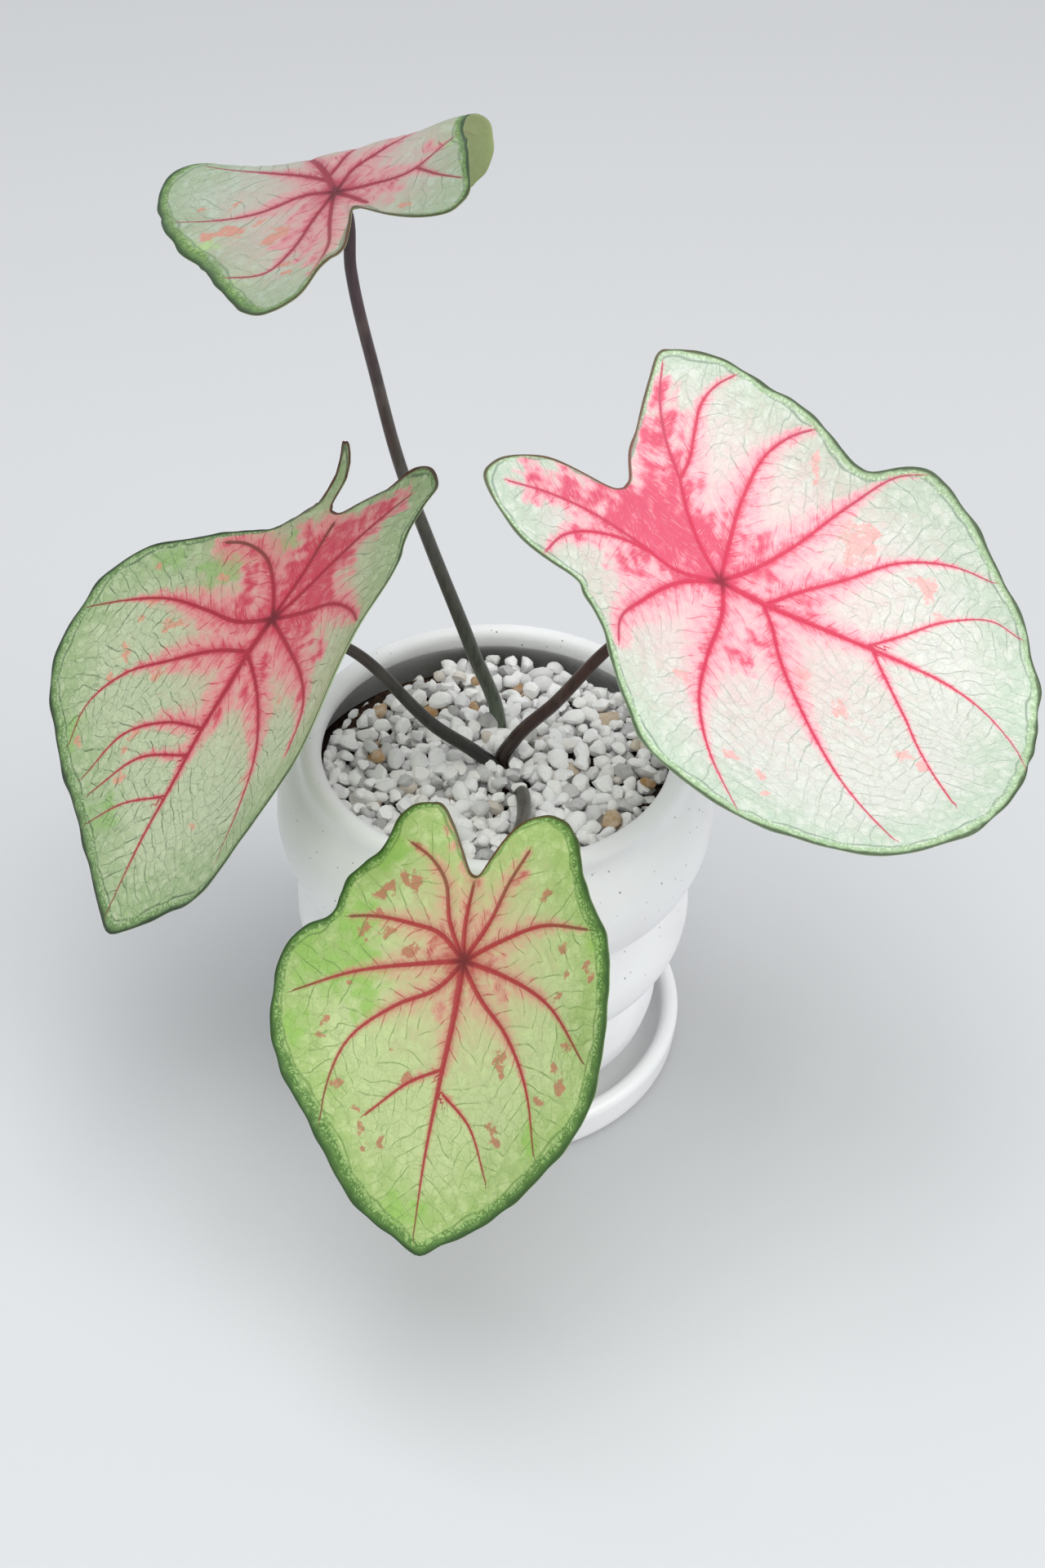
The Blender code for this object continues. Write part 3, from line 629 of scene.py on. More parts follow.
def ribs_of(leaf):
    """The main veins as fine lines with half widths that taper from the joint outwards."""
    ribs = []
    far = max(reach for _, reach in leaf.outline)
    for index, vein in enumerate(leaf.veins):
        points = through([flat_of(bearing, distance) for bearing, distance in vein], 22)
        distances = np.hypot(points[:, 0], points[:, 1])
        thick = 1.2 if index == 0 else 0.8
        ribs.append((points, np.maximum(thick * (1 - distances / far / 1.08) ** 1.15, 0.2)))
    return ribs


def spots_at(spots, flat):
    """How deep each point lies in soft spots: 1 - the product of (1 - exp(-(distance / radius) squared)).

    The points are first shifted by slow waves, so that no spot comes out round.
    """
    x, y = flat[:, 0], flat[:, 1]
    waves = np.stack([np.sin(0.61 * y + 0.23 * x) + 0.7 * np.sin(1.27 * y - 0.8 * x + 1),
                      np.sin(0.53 * x - 0.31 * y + 2) + 0.7 * np.sin(1.13 * x + 0.9 * y)], axis=1)
    clear = np.ones(len(flat))
    for bearing, distance, radius in spots:
        gap = np.hypot(*(flat + 0.32 * radius * waves - flat_of(bearing, distance)).T)
        clear *= 1 - 0.9 * np.exp(-((gap / radius) ** 2))
    return 1 - clear


def blade_fields(name, leaf, flat):
    """The values that the blade's material reads at each point, all in mm but for the shares."""
    tints, marks = TINTS[name], MARKS[name]
    ribs = ribs_of(leaf)
    found = np.array([nearest_on(points, widths, flat) for points, widths in ribs])
    nearest = found[:, 0].argmin(axis=0)
    far, side, run, half, rest = found[nearest, :, np.arange(len(flat))].T
    apart = np.partition(found[:, 0], 1, axis=0)[1] - far
    around = np.arange(720) / 2
    margin = flat_of(around, reach_at(leaf.outline, around))
    edge = nearest_on(np.concatenate([margin, margin[:1]]), np.zeros(len(margin) + 1), flat)[0]
    radius = np.hypot(flat[:, 0], flat[:, 1])
    bearings = np.degrees(np.arctan2(flat[:, 0], flat[:, 1])) % 360
    band = np.interp(bearings, *np.array(marks.band).T, period=360)
    size = max(reach for _, reach in leaf.outline)
    spread = tints.blush_spread * (1 - 0.80 * smoothstep(radius, 0.08 * size, 0.64 * size))
    fade = 1 - (1 - tints.blush_tail) * smoothstep(radius, 0.25 * size, 0.85 * size)
    blush = np.exp(-((far / spread) ** 1.4)) * fade * tints.blush_share
    return {
        "rib_side": np.clip(side / half, -9, 9), "rib_far": far, "rib_run": run,
        "apart": np.minimum(apart, 9), "rest": rest,
        "edge": edge, "band": np.clip(edge / band, 0, 20), "collar": edge - 1.2 * band, "blush": blush, "radius": radius, "half": half,
        "notch": np.exp(-(((bearings - 180) / 30) ** 2)),
        "pool": spots_at(marks.pools, flat), "patch": spots_at(marks.patches, flat),
        "green": spots_at(marks.greens, flat),
    }


def blade_mesh(name, leaf):
    """Both faces of a blade, on rays from the joint and rings out to a rounded margin and back.

    The upper face sinks over the veins and swells between them; the lower one stands proud
    over them, most at the joint.
    """
    theta = np.arange(BLADE_RAYS) * math.tau / BLADE_RAYS
    bearings = np.degrees(theta) + RAY_CROWDING * np.sin(theta)
    reaches = reach_at(leaf.outline, bearings % 360)
    reaches = reaches * (1 + 0.003 * np.sin(np.radians(bearings * 23)) + 0.002 * np.sin(np.radians(bearings * 41 + 50)))
    shares = (np.arange(1, BLADE_RINGS + 1) / BLADE_RINGS) ** 0.9
    rays = flat_of(bearings, 1.0)
    flat = (shares[:, None, None] * (reaches[:, None] * rays)[None]).reshape(-1, 2)
    fields = blade_fields(name, leaf, flat)
    rib = np.exp(-((fields["rib_far"] / (fields["half"] * 1.3)) ** 2)) * smoothstep(fields["half"], 0.1, 1.0)
    slanted = fields["rib_run"] - 0.72 * fields["rib_far"] - 0.012 * fields["rib_far"] ** 2
    swell = (0.36 + 0.07 * np.sin(slanted * math.tau / TWIG_SPACING)) * (1 - np.exp(-fields["rib_far"] / 3.0))
    swell *= smoothstep(fields["edge"], 0.0, 7.0)
    thin = BLADE_THICKNESS / 2 * (0.45 + 0.55 * smoothstep(fields["edge"], 0.0, 1.2))
    upper = blade_surface(leaf, flat, thin + swell - 0.22 * rib)
    lower = blade_surface(leaf, flat, -thin + swell * 0.8 - 0.85 * rib)
    shape = (BLADE_RINGS, BLADE_RAYS)
    grid = np.concatenate([upper.reshape(*shape, 3), lower.reshape(*shape, 3)[::-1]])
    centre = np.array([[1e-3, 1e-3]])
    poles = np.concatenate([blade_surface(leaf, centre, BLADE_THICKNESS / 2 - 0.2),
                            blade_surface(leaf, centre, -BLADE_THICKNESS / 2 - 0.8)])
    at_joint = {"edge": 30.0, "band": 20.0, "collar": 28.0, "blush": TINTS[name].blush_share}
    stored = {}
    for label, values in fields.items():
        one = values.reshape(shape)
        value = at_joint.get(label, 0.0)
        stored[label] = (np.concatenate([one, one[::-1]]), [value, value])
    stored["under"] = (np.repeat([0.0, 1.0], BLADE_RINGS * BLADE_RAYS), [0.0, 1.0])
    spots = np.column_stack([flat, np.zeros(len(flat))]).reshape(*shape, 3)
    stored["flat"] = (np.concatenate([spots, spots[::-1] + [0, 0, 40.0]]), [[0, 0, 0], [0, 0, 40.0]])
    return surface_mesh(name, grid, poles, stored)


def centred(finish, noise, swing):
    """A noise's difference from its mean, times swing."""
    return finish.math("MULTIPLY", finish.math("SUBTRACT", noise, 0.5), swing)


def twig_lines(finish, slanted, far, wander, breaks):
    """The side veins: thin lines a few mm apart along each rib, which leave it at a slant on both sides.

    slanted is constant along one such line. The lines fade where two ribs' fields meet, at
    a rib's end and at the margin, and where the breaks noise is low.
    """
    side = finish.step(finish.field("rib_side"), -0.01, 0.01, 0.0, 0.43)
    turns = finish.math("ADD", finish.math("DIVIDE", slanted, TWIG_SPACING), side)
    turns = finish.math("ADD", turns, finish.math("MULTIPLY", wander, 1.3))
    off = finish.math("MULTIPLY", finish.math("ABSOLUTE", finish.math("SUBTRACT", finish.math("FRACT", turns), 0.5)),
                      TWIG_SPACING)
    line = finish.math("MULTIPLY", finish.step(off, 0.08, 0.34, 1.0, 0.0), finish.step(far, 2.0, 16.0, 1.0, 0.55))
    line = finish.math("MULTIPLY", line, finish.step(finish.field("apart"), 0.2, 1.4))
    line = finish.math("MULTIPLY", line, finish.step(finish.field("rest"), 0.3, 1.6))
    line = finish.math("MULTIPLY", line, finish.step(breaks, 0.38, 0.58, 0.25, 1.0))
    return finish.math("MULTIPLY", line, finish.step(finish.field("band"), 1.0, 1.3))


def blade_finish(name, tints):
    finish = Finish("blade_" + name, roughness=0.44, specular=0.40)
    colour = {label: linear(code) for label, code in tints._asdict().items() if isinstance(code, str)}
    flat, far, run = finish.field("flat", "Vector"), finish.field("rib_far"), finish.field("rib_run")
    edge, band, radius = finish.field("edge"), finish.field("band"), finish.field("radius")
    broad, middle = finish.noise(flat, 0.07, 3.0), finish.noise(flat, 0.28, 3.0, roughness=0.6)
    fine = finish.noise(flat, 1.1, 4.0, roughness=0.65)
    drift = finish.noise(flat, 0.11, 1.0)

    ground = finish.mix(finish.step(finish.math("ADD", edge, centred(finish, broad, 26.0)), 3.0, 22.0, 1.0, 0.0),
                        colour["ground"], colour["rim"])
    pale = tuple(min(1.0, share * 1.12) for share in colour["ground"][:3]) + (1.0,)
    ground = finish.mix(finish.step(middle, 0.46, 0.64, 0.0, 0.6), ground, pale)
    ground = finish.mix(finish.step(fine, 0.50, 0.72, 0.0, 0.30), ground, colour["rim"])
    flush = tuple(0.62 * a + 0.38 * b for a, b in zip(colour["ground"], colour["blush"]))
    warm = finish.math("ADD", finish.math("DIVIDE", radius, tints.flush_reach), centred(finish, middle, 1.3))
    ground = finish.mix(finish.step(warm, 0.25, 1.15, 0.85, 0.0), ground, flush)
    lush = finish.math("ADD", finish.field("green"), centred(finish, middle, 1.3))
    ground = finish.mix(finish.step(lush, 0.25, 0.85, 0.0, 0.85), ground, colour["green"])

    bowed = finish.math("ADD", finish.math("MULTIPLY", far, 0.72),
                        finish.math("MULTIPLY", finish.math("MULTIPLY", far, far), 0.012))
    slanted = finish.math("SUBTRACT", run, bowed)
    streak_at = finish.node("ShaderNodeCombineXYZ", {0: finish.math("MULTIPLY", slanted, 1.5),
                                                     1: finish.math("MULTIPLY", far, 0.17), 2: broad})
    streaks = finish.noise(streak_at, 1.0, 5.0, distortion=0.8, roughness=0.72)
    pool = finish.math("MULTIPLY", finish.field("pool"), tints.pool_share)
    blush = finish.math("MAXIMUM", finish.field("blush"), pool)
    ragged = finish.math("ADD", blush, centred(finish, streaks, 1.25))
    ragged = finish.math("ADD", ragged, centred(finish, middle, 1.5))
    ragged = finish.math("MULTIPLY", ragged, finish.step(blush, 0.02, 0.40))
    washed = finish.mix(finish.step(ragged, 0.02, 0.85, 0.0, 0.85), ground, colour["blush"])
    washed = finish.mix(finish.step(ragged, 0.62, 1.35, 0.0, 0.90), washed, colour["glow"])
    flecks = finish.noise(finish.scaled(streak_at, 1.7), 1.0, 3.0, roughness=0.7)
    flecks = finish.math("MULTIPLY", finish.step(flecks, 0.60, 0.68, 0.0, 0.55), finish.step(ragged, 0.2, 0.7))
    washed = finish.mix(flecks, washed, pale)
    near = finish.math("ADD", finish.step(radius, 1.0, 15.0, 1.0, 0.0), centred(finish, streaks, 0.9))
    washed = finish.mix(finish.step(near, 0.35, 1.1, 0.0, 0.75), washed, colour["glow"])

    torn = finish.noise(flat, 0.75, 4.0, distortion=0.6, roughness=0.7)
    blot = finish.step(finish.math("ADD", finish.field("patch"), centred(finish, torn, 1.7)), 0.50, 0.72)
    patched = finish.mix(finish.math("MULTIPLY", blot, tints.patch_share), washed, colour["patch"])

    wander = finish.noise(flat, 0.35, 2.0, output="Color")
    net_at = finish.node("ShaderNodeVectorMath", {0: flat, 1: finish.scaled(wander, 3.4)}, operation="ADD")
    net = finish.step(finish.cells(net_at, 0.26, "DISTANCE_TO_EDGE"), 0.006, 0.045, 1.0, 0.0)
    small = finish.step(finish.cells(net_at, 0.62, "DISTANCE_TO_EDGE"), 0.01, 0.10, 0.35, 0.0)
    net = finish.math("MULTIPLY", finish.math("MAXIMUM", net, small), finish.step(radius, 14.0, 45.0, 0.12, 0.75))
    net_colour = finish.mix(finish.step(ragged, 0.15, 0.6), colour["net"], colour["glow"])
    netted = finish.mix(finish.math("MULTIPLY", net, tints.net_share * 0.62), patched, net_colour)
    twig = twig_lines(finish, slanted, far, drift, middle)
    veined = finish.mix(finish.math("MULTIPLY", twig, tints.net_share), netted, net_colour)

    frayed = finish.math("ADD", band, centred(finish, middle, 0.9))
    collar = finish.math("ABSOLUTE", finish.math("ADD", finish.field("collar"), centred(finish, drift, 4.0)))
    veined = finish.mix(finish.step(collar, 0.16, 0.52, 0.80, 0.0), veined, colour["net"])
    banded = finish.mix(finish.step(frayed, 0.75, 1.25, 0.90, 0.0), veined, colour["margin"])
    cell = finish.step(finish.cells(net_at, 0.85, "DISTANCE_TO_EDGE"), 0.10, 0.22)
    cell = finish.math("MULTIPLY", cell, finish.step(frayed, 0.35, 0.75))
    cell = finish.math("MULTIPLY", cell, finish.step(frayed, 1.0, 1.5, 0.75, 0.0))
    banded = finish.mix(cell, banded, colour["cell"])
    banded = finish.mix(finish.step(frayed, 0.10, 0.55, 0.80, 0.0), banded, colour["edge"])

    rib_side = finish.math("ABSOLUTE", finish.field("rib_side"))
    halo = finish.math("MULTIPLY", finish.step(rib_side, 0.8, 3.4, 1.0, 0.0), finish.step(far, 1.2, 3.0, 0.8 * tints.blush_share, 0.0))
    halo = finish.math("MULTIPLY", halo, finish.step(streaks, 0.35, 0.62, 0.35, 1.0))
    halo = finish.math("MULTIPLY", halo, finish.step(edge, 1.0, 16.0, 0.15, 1.0))
    banded = finish.mix(halo, banded, colour["glow"])
    ribbed = finish.step(rib_side, 0.55, 1.3, 1.0, 0.0)
    ribbed = finish.math("MULTIPLY", ribbed, finish.step(far, 1.6, 2.4, 1.0, 0.0))
    inner = finish.math("MAXIMUM", finish.step(edge, 2.0, 20.0), finish.step(radius, 10.0, 26.0, 1.0, 0.0))
    rib_colour = finish.mix(inner, colour["tail"], colour["vein"])
    whole = finish.mix(finish.math("MULTIPLY", ribbed, finish.step(edge, 0.5, 3.0, 0.3, 0.95)), banded, rib_colour)
    dark = tuple(share * 0.38 for share in colour["vein"][:3]) + (1.0,)
    spot = finish.math("ADD", radius, finish.math("MULTIPLY", far, 2.2))
    whole = finish.mix(finish.step(spot, 1.0, 6.0, 0.92, 0.0), whole, dark)
    brim = finish.mix(finish.math("MULTIPLY", finish.field("notch"), 0.7), colour["edge"], dark)
    whole = finish.mix(finish.step(edge, 0.35, 0.95, 0.94, 0.0), whole, brim)
    finish.set("Base Color", finish.mix(finish.math("MULTIPLY", finish.field("under"), 0.82), whole, colour["under"]))

    finish.set("Subsurface Weight", 0.12)
    finish.set("Subsurface Radius", (0.9, 1.0, 0.35))
    finish.set("Subsurface Scale", 0.0012)
    relief = finish.math("SUBTRACT", finish.math("MULTIPLY", fine, 0.35), finish.math("MULTIPLY", twig, 0.5))
    relief = finish.math("SUBTRACT", relief, finish.math("MULTIPLY", net, 0.40))
    relief = finish.math("SUBTRACT", relief, finish.math("MULTIPLY", ribbed, 0.5))
    finish.bump(relief, 0.5, 0.0004)
    return finish.material


def stalk_route(leaf):
    """A smooth centre line from the tuber to the blade's underside, square to the blade at its end."""
    joint = np.array(leaf.joint)
    normal = blade_axes(leaf)[2]
    ends = [joint - normal * 3.5, joint - normal * (BLADE_THICKNESS / 2 + 0.15)]
    return through([*leaf.stalk, *ends], STALK_RINGS)


def sweep(route, sizes, sides, flutes=0.0):
    """Rings of points round a route, each square to it. A ring's frame is carried along without twist."""
    tangents = np.gradient(route, axis=0)
    tangents /= np.linalg.norm(tangents, axis=1, keepdims=True)
    across = np.cross(tangents[0], [0.0, 1.0, 0.2])
    rings = []
    angle = np.arange(sides) * math.tau / sides
    for place, tangent, size in zip(route, tangents, sizes):
        across = across - tangent * (across @ tangent)
        across = across / np.linalg.norm(across)
        over = np.cross(tangent, across)
        radius = size * (1 + flutes * np.sin(3 * angle))[:, None]
        rings.append(place + radius * (np.cos(angle)[:, None] * across + np.sin(angle)[:, None] * over))
    return np.array(rings)


def stalk_mesh(name, leaf):
    """The stalk: a tube a little fatter at its foot, with a small collar where it meets the blade."""
    route = stalk_route(leaf)
    share = np.linspace(0, 1, len(route))
    run = share * np.linalg.norm(np.diff(route, axis=0), axis=1).sum()
    sizes = STALK_RADIUS * (1 + (STALK_BASE_SWELL - 1) * (1 - share) ** 2)
    sizes *= 1 - 0.10 * smoothstep(share, 0.3, 1.0) + 0.22 * smoothstep(run, run[-1] - 3.5, run[-1])
    grid = sweep(route, sizes, STALK_SIDES, flutes=0.025)
    spread = np.broadcast_to(share[:, None], grid.shape[:2])
    fields = {"share": (spread, [0.0, 1.0]),
              "run": (np.broadcast_to(run[:, None], grid.shape[:2]), [0.0, run[-1]])}
    return surface_mesh(name, grid[:, ::-1], [route[0], route[-1]], fields)


def stalk_finish(name, foot, middle, head):
    """Smooth skin that darkens from its foot to its head, with fine length-wise flecks."""
    finish = Finish("stalk_" + name, roughness=0.32, specular=0.5)
    at = finish.place()
    share = finish.field("share")
    flecks = finish.noise(finish.node("ShaderNodeMapping", {"Vector": at, "Scale": (900.0, 900.0, 160.0)}), 1.0, 3.0)
    cloud = finish.noise(at, 90.0, 2.0)
    lower = finish.mix(finish.step(share, 0.02, 0.40), linear(foot), linear(middle))
    whole = finish.mix(finish.step(share, 0.40, 0.95), lower, linear(head))
    dark = finish.mix(0.55, whole, linear("#1f1614"))
    whole = finish.mix(finish.step(flecks, 0.42, 0.66, 0.0, 0.75), whole, dark)
    light = finish.mix(0.35, whole, linear("#a39a86"))
    whole = finish.mix(finish.step(cloud, 0.5, 0.75, 0.0, 0.28), whole, light)
    finish.set("Base Color", whole)
    finish.bump(flecks, 0.25, 0.0002)
    return finish.material


def arc(start, end, bulge, steps):
    """Points from start to end, both (radius, height), on an arc that bulges outwards by bulge."""
    start, end = np.array(start, dtype=float), np.array(end, dtype=float)
    chord = end - start
    length = np.hypot(*chord)
    outward = np.array([-chord[1], chord[0]]) / length
    outward = outward if outward[0] > 0 else -outward
    radius = (length**2 / 4 + bulge**2) / (2 * bulge)
    centre = (start + end) / 2 - outward * (radius - bulge)
    angles = math.asin(length / 2 / radius) * np.linspace(-1, 1, steps + 1)
    return centre + radius * (np.cos(angles)[:, None] * outward + np.sin(angles)[:, None] * chord / length)


def roll_points(centre, radius, start, end, steps):
    """Points on a circle's arc about centre, from the angle start to end in degrees."""
    angles = np.radians(np.linspace(start, end, steps + 1))
    return np.array(centre) + radius * np.stack([np.cos(angles), np.sin(angles)], axis=1)


def revolved(profile, steps):
    """The grid of a profile of (radius, height) turned round Z."""
    angle = np.arange(steps) * math.tau / steps
    radius, height = profile[:, 0][:, None], profile[:, 1][:, None]
    return np.stack([radius * np.cos(angle), radius * np.sin(angle), np.broadcast_to(height, (len(profile), steps))],
                    axis=-1)


def softened(profile, sweeps):
    """Blunts a profile's corners: each point moves towards the middle of its neighbours, several times over."""
    points = profile.copy()
    for _ in range(sweeps):
        points[1:-1] = 0.5 * points[1:-1] + 0.25 * (points[:-2] + points[2:])
    return points


def inner_tiers(steps):
    """The inside of the tiers, from just under the rim down to the pot's floor."""
    lower = (POT_LOWER_CREASE[0] - POT_WALL, POT_LOWER_CREASE[1])
    upper = (POT_UPPER_CREASE[0] - POT_WALL, POT_UPPER_CREASE[1])
    lip = (RIM_CENTRE[0] - RIM_RADIUS, RIM_CENTRE[1] - 1.5)
    floor = (POT_FOOT[0] - POT_WALL + 0.5, POT_FLOOR_THICKNESS + SAUCER_FLOOR + GAP)
    walls = [arc(start, end, bulge + 0.6, steps)[:-1]
             for start, end, bulge in zip((lip, upper, lower), (upper, lower, floor), POT_BULGES)]
    return np.concatenate([*walls, [floor]])


def pot_mesh():
    """Three bulging tiers with soft creases and a rolled rim, with the faint unevenness of a thrown pot.

    The radius varies by a few hundredths of a mm to a few tenths with slow waves of the angle
    and the height.
    """
    tops = (POT_SHOULDER, POT_UPPER_CREASE, POT_LOWER_CREASE)
    ends = (POT_UPPER_CREASE, POT_LOWER_CREASE, POT_FOOT)
    tiers = [arc(start, end, bulge, 26)[:-1] for start, end, bulge in zip(tops, ends, POT_BULGES)]
    bottom = SAUCER_FLOOR + GAP
    outer = softened(np.concatenate([*tiers, [POT_FOOT], [(POT_FOOT[0] - 1.5, bottom)]]), 3)
    foot = [(POT_FOOT[0] - 9, bottom), (DRAIN_RADIUS + 1, bottom), (DRAIN_RADIUS, bottom + 0.6)]
    floor = [(DRAIN_RADIUS, bottom + POT_FLOOR_THICKNESS - 0.6), (DRAIN_RADIUS + 1, bottom + POT_FLOOR_THICKNESS)]
    rim = roll_points(RIM_CENTRE, RIM_RADIUS, 165, -18, 18)
    profile = np.concatenate([outer, foot, floor, softened(inner_tiers(20)[::-1], 2), rim])
    grid = revolved(profile, POT_STEPS)
    angle = np.arctan2(grid[..., 1], grid[..., 0])
    wobble = 0.10 * np.sin(2 * angle + 0.05 * grid[..., 2]) + 0.05 * np.sin(5 * angle - 0.21 * grid[..., 2])
    wobble += 0.05 * np.sin(0.9 * grid[..., 2] + angle)
    scale = 1 + wobble * smoothstep(grid[..., 2], 6, 14) / np.maximum(np.hypot(grid[..., 0], grid[..., 1]), 20)
    grid[..., 0] *= scale
    grid[..., 1] *= scale
    return surface_mesh("pot_body", grid[:, ::-1])


def saucer_mesh():
    """A shallow dish with a rounded rim and a flat foot."""
    middle = (SAUCER_RADIUS + SAUCER_INNER_RADIUS) / 2
    roll = (SAUCER_RADIUS - SAUCER_INNER_RADIUS) / 2
    rim = roll_points((middle + 0.3, SAUCER_RIM_TOP - roll), roll, 180, 0, 16)
    inside = [(1.0, SAUCER_FLOOR), (20, SAUCER_FLOOR), (SAUCER_INNER_RADIUS - 6, SAUCER_FLOOR),
              (SAUCER_INNER_RADIUS - 3, SAUCER_FLOOR + 0.2), (SAUCER_INNER_RADIUS - 1.2, SAUCER_FLOOR + 1.0),
              (SAUCER_INNER_RADIUS - 0.3, SAUCER_FLOOR + 2.6)]
    foot = [(SAUCER_RADIUS - 0.1, 6.0), (SAUCER_RADIUS - 0.4, 3.0), (SAUCER_RADIUS - 1.1, 1.4),
            (SAUCER_RADIUS - 2.2, 0.5), (SAUCER_RADIUS - 4, 0), (20, 0), (1.0, 0)]
    profile = np.concatenate([inside, rim, foot])
    run = np.concatenate([[0], np.cumsum(np.hypot(*np.diff(profile, axis=0).T))])
    places = np.unique(np.concatenate([run, np.linspace(0, run[-1], 90)]))
    fine = np.stack([np.interp(places, run, profile[:, axis]) for axis in range(2)], axis=1)
    fine = softened(fine, 2)
    return surface_mesh("saucer_dish", revolved(fine, POT_STEPS)[:, ::-1], [(0, 0, SAUCER_FLOOR), (0, 0, 0)])


def pot_finish():
    """Matt cream-white clay glaze with sparse dark iron specks and a faint grain."""
    finish = Finish("speckled_glaze", roughness=0.42, specular=0.45)
    at = finish.place()
    cloud = finish.noise(at, 28.0, 3.0)
    base = finish.mix(finish.step(cloud, 0.35, 0.7), linear("#f3f3f4"), linear("#eae9ea"))
    coat = base
    for scale, size, share in ((150.0, 0.085, 0.80), (260.0, 0.10, 0.76), (480.0, 0.13, 0.80)):
        spot = finish.step(finish.cells(at, scale), size * 0.6, size, 1.0, 0.0)
        tint = finish.cells(at, scale, output="Color")
        chosen = finish.step(finish.node("ShaderNodeSeparateColor", {0: tint}, output=0), share, share + 0.02)
        coat = finish.mix(finish.math("MULTIPLY", finish.math("MULTIPLY", spot, chosen), 0.75), coat, linear("#5b554c"))
    finish.set("Base Color", coat)
    grain = finish.noise(at, 900.0, 2.0)
    rings = finish.noise(finish.node("ShaderNodeMapping", {"Vector": at, "Scale": (6.0, 6.0, 160.0)}), 1.0, 2.0)
    finish.bump(finish.math("ADD", finish.math("MULTIPLY", grain, 0.3), rings), 0.22, 0.0006)
    return finish.material


def saucer_finish():
    """Plain white satin glaze."""
    finish = Finish("white_glaze", roughness=0.30, specular=0.5)
    at = finish.place()
    cloud = finish.noise(at, 22.0, 3.0)
    finish.set("Base Color", finish.mix(finish.step(cloud, 0.3, 0.7), linear("#f4f4f4"), linear("#ededed")))
    finish.bump(finish.noise(at, 500.0, 2.0), 0.08, 0.0004)
    return finish.material


def stone_spots(draw, spacing, radius):
    """Random places in a disc, none closer to another than spacing, tried one after another."""
    spots = []
    for _ in range(9000):
        reach = radius * math.sqrt(draw.random())
        angle = draw.uniform(0, math.tau)
        spot = (reach * math.cos(angle), reach * math.sin(angle))
        if all((spot[0] - other[0]) ** 2 + (spot[1] - other[1]) ** 2 > spacing**2 for other in spots):
            spots.append(spot)
    return spots


def bare_patch(x, y):
    """True where the mix shows at the wall: on the right, and at the back left."""
    reach, bearing = math.hypot(x, y), math.degrees(math.atan2(y, x))
    return (reach > 44.0 and -48 < bearing < -8) or (reach > 43.5 and 112 < bearing < 160)


def unit_stone():
    """Points and faces of a round stone: an icosahedron with each face cut in four."""
    golden = (1 + math.sqrt(5)) / 2
    corners = [(-1, golden, 0), (1, golden, 0), (-1, -golden, 0), (1, -golden, 0), (0, -1, golden), (0, 1, golden),
               (0, -1, -golden), (0, 1, -golden), (golden, 0, -1), (golden, 0, 1), (-golden, 0, -1), (-golden, 0, 1)]
    points = np.array(corners, dtype=float)
    gaps = np.linalg.norm(points[:, None] - points[None], axis=2)
    near = np.abs(gaps - 2) < 0.01
    faces = [(a, b, c) for a in range(12) for b in range(a + 1, 12) for c in range(b + 1, 12)
             if near[a, b] and near[b, c] and near[a, c]]
    points = list(points / np.linalg.norm(points[0]))
    middles, split = {}, []
    for face in faces:
        a, b, c = face
        if np.dot(np.cross(points[b] - points[a], points[c] - points[a]), points[a]) < 0:
            b, c = c, b
        edges = []
        for pair in ((a, b), (b, c), (c, a)):
            key = tuple(sorted(pair))
            if key not in middles:
                middle = points[pair[0]] + points[pair[1]]
                middles[key] = len(points)
                points.append(middle / np.linalg.norm(middle))
            edges.append(middles[key])
        ab, bc, ca = edges
        split += [(a, ab, ca), (b, bc, ab), (c, ca, bc), (ab, bc, ca)]
    return np.array(points), np.array(split)


def gravel_mesh():
    """Three layers of angular pebbles. Each is a round stone cut by random planes, stretched and turned.

    A stone's radius in a direction d is the least of a / (d . n) over its planes with normals
    n at distances a, and never above 1, which gives flats with soft corners.
    """
    draw = random.Random(41)
    normals_of = np.random.default_rng(17)
    unit, faces = unit_stone()
    points, triangles, shades = [], [], []
    for level, spacing in STONE_LEVELS:
        for x, y in stone_spots(draw, spacing, STONE_FIELD_RADIUS):
            if bare_patch(x, y) and level > 101:
                continue
            planes = normals_of.normal(size=(9, 3))
            planes /= np.linalg.norm(planes, axis=1, keepdims=True)
            depths = normals_of.uniform(0.52, 0.86, size=9)
            facing = np.maximum(unit @ planes.T, 1e-3)
            radius = np.minimum(np.min(depths / facing, axis=1), 1.0)
            body = unit * radius[:, None]
            size = draw.uniform(1.9, 3.4)
            body = body * np.array([size * draw.uniform(1.0, 1.45), size * draw.uniform(0.85, 1.1), size * draw.uniform(0.7, 0.95)])
            turn = np.array(Matrix.Rotation(draw.uniform(0, math.tau), 3, "Z")
                            @ Matrix.Rotation(draw.uniform(-0.6, 0.6), 3, "X")
                            @ Matrix.Rotation(draw.uniform(-0.6, 0.6), 3, "Y"))
            body = body @ turn.T + np.array([x, y, level + draw.uniform(-1.0, 1.2)])
            reach = np.hypot(body[:, 0], body[:, 1])
            wall = 48.8
            pull = np.minimum(1.0, wall / np.maximum(reach, 1e-6))
            body[:, :2] *= pull[:, None]
            triangles.append(faces + len(unit) * len(points))
            points.append(body)
            shades.append(np.full(len(unit), draw.random()))
    mesh = mesh_of("pumice", np.concatenate(points), np.empty((0, 4), dtype=int), np.concatenate(triangles))
    mesh.set_sharp_from_angle(angle=math.radians(42))
    layer = mesh.attributes.new("stone", "FLOAT", "POINT")
    layer.data.foreach_set("value", np.concatenate(shades).astype(np.float32))
    return mesh


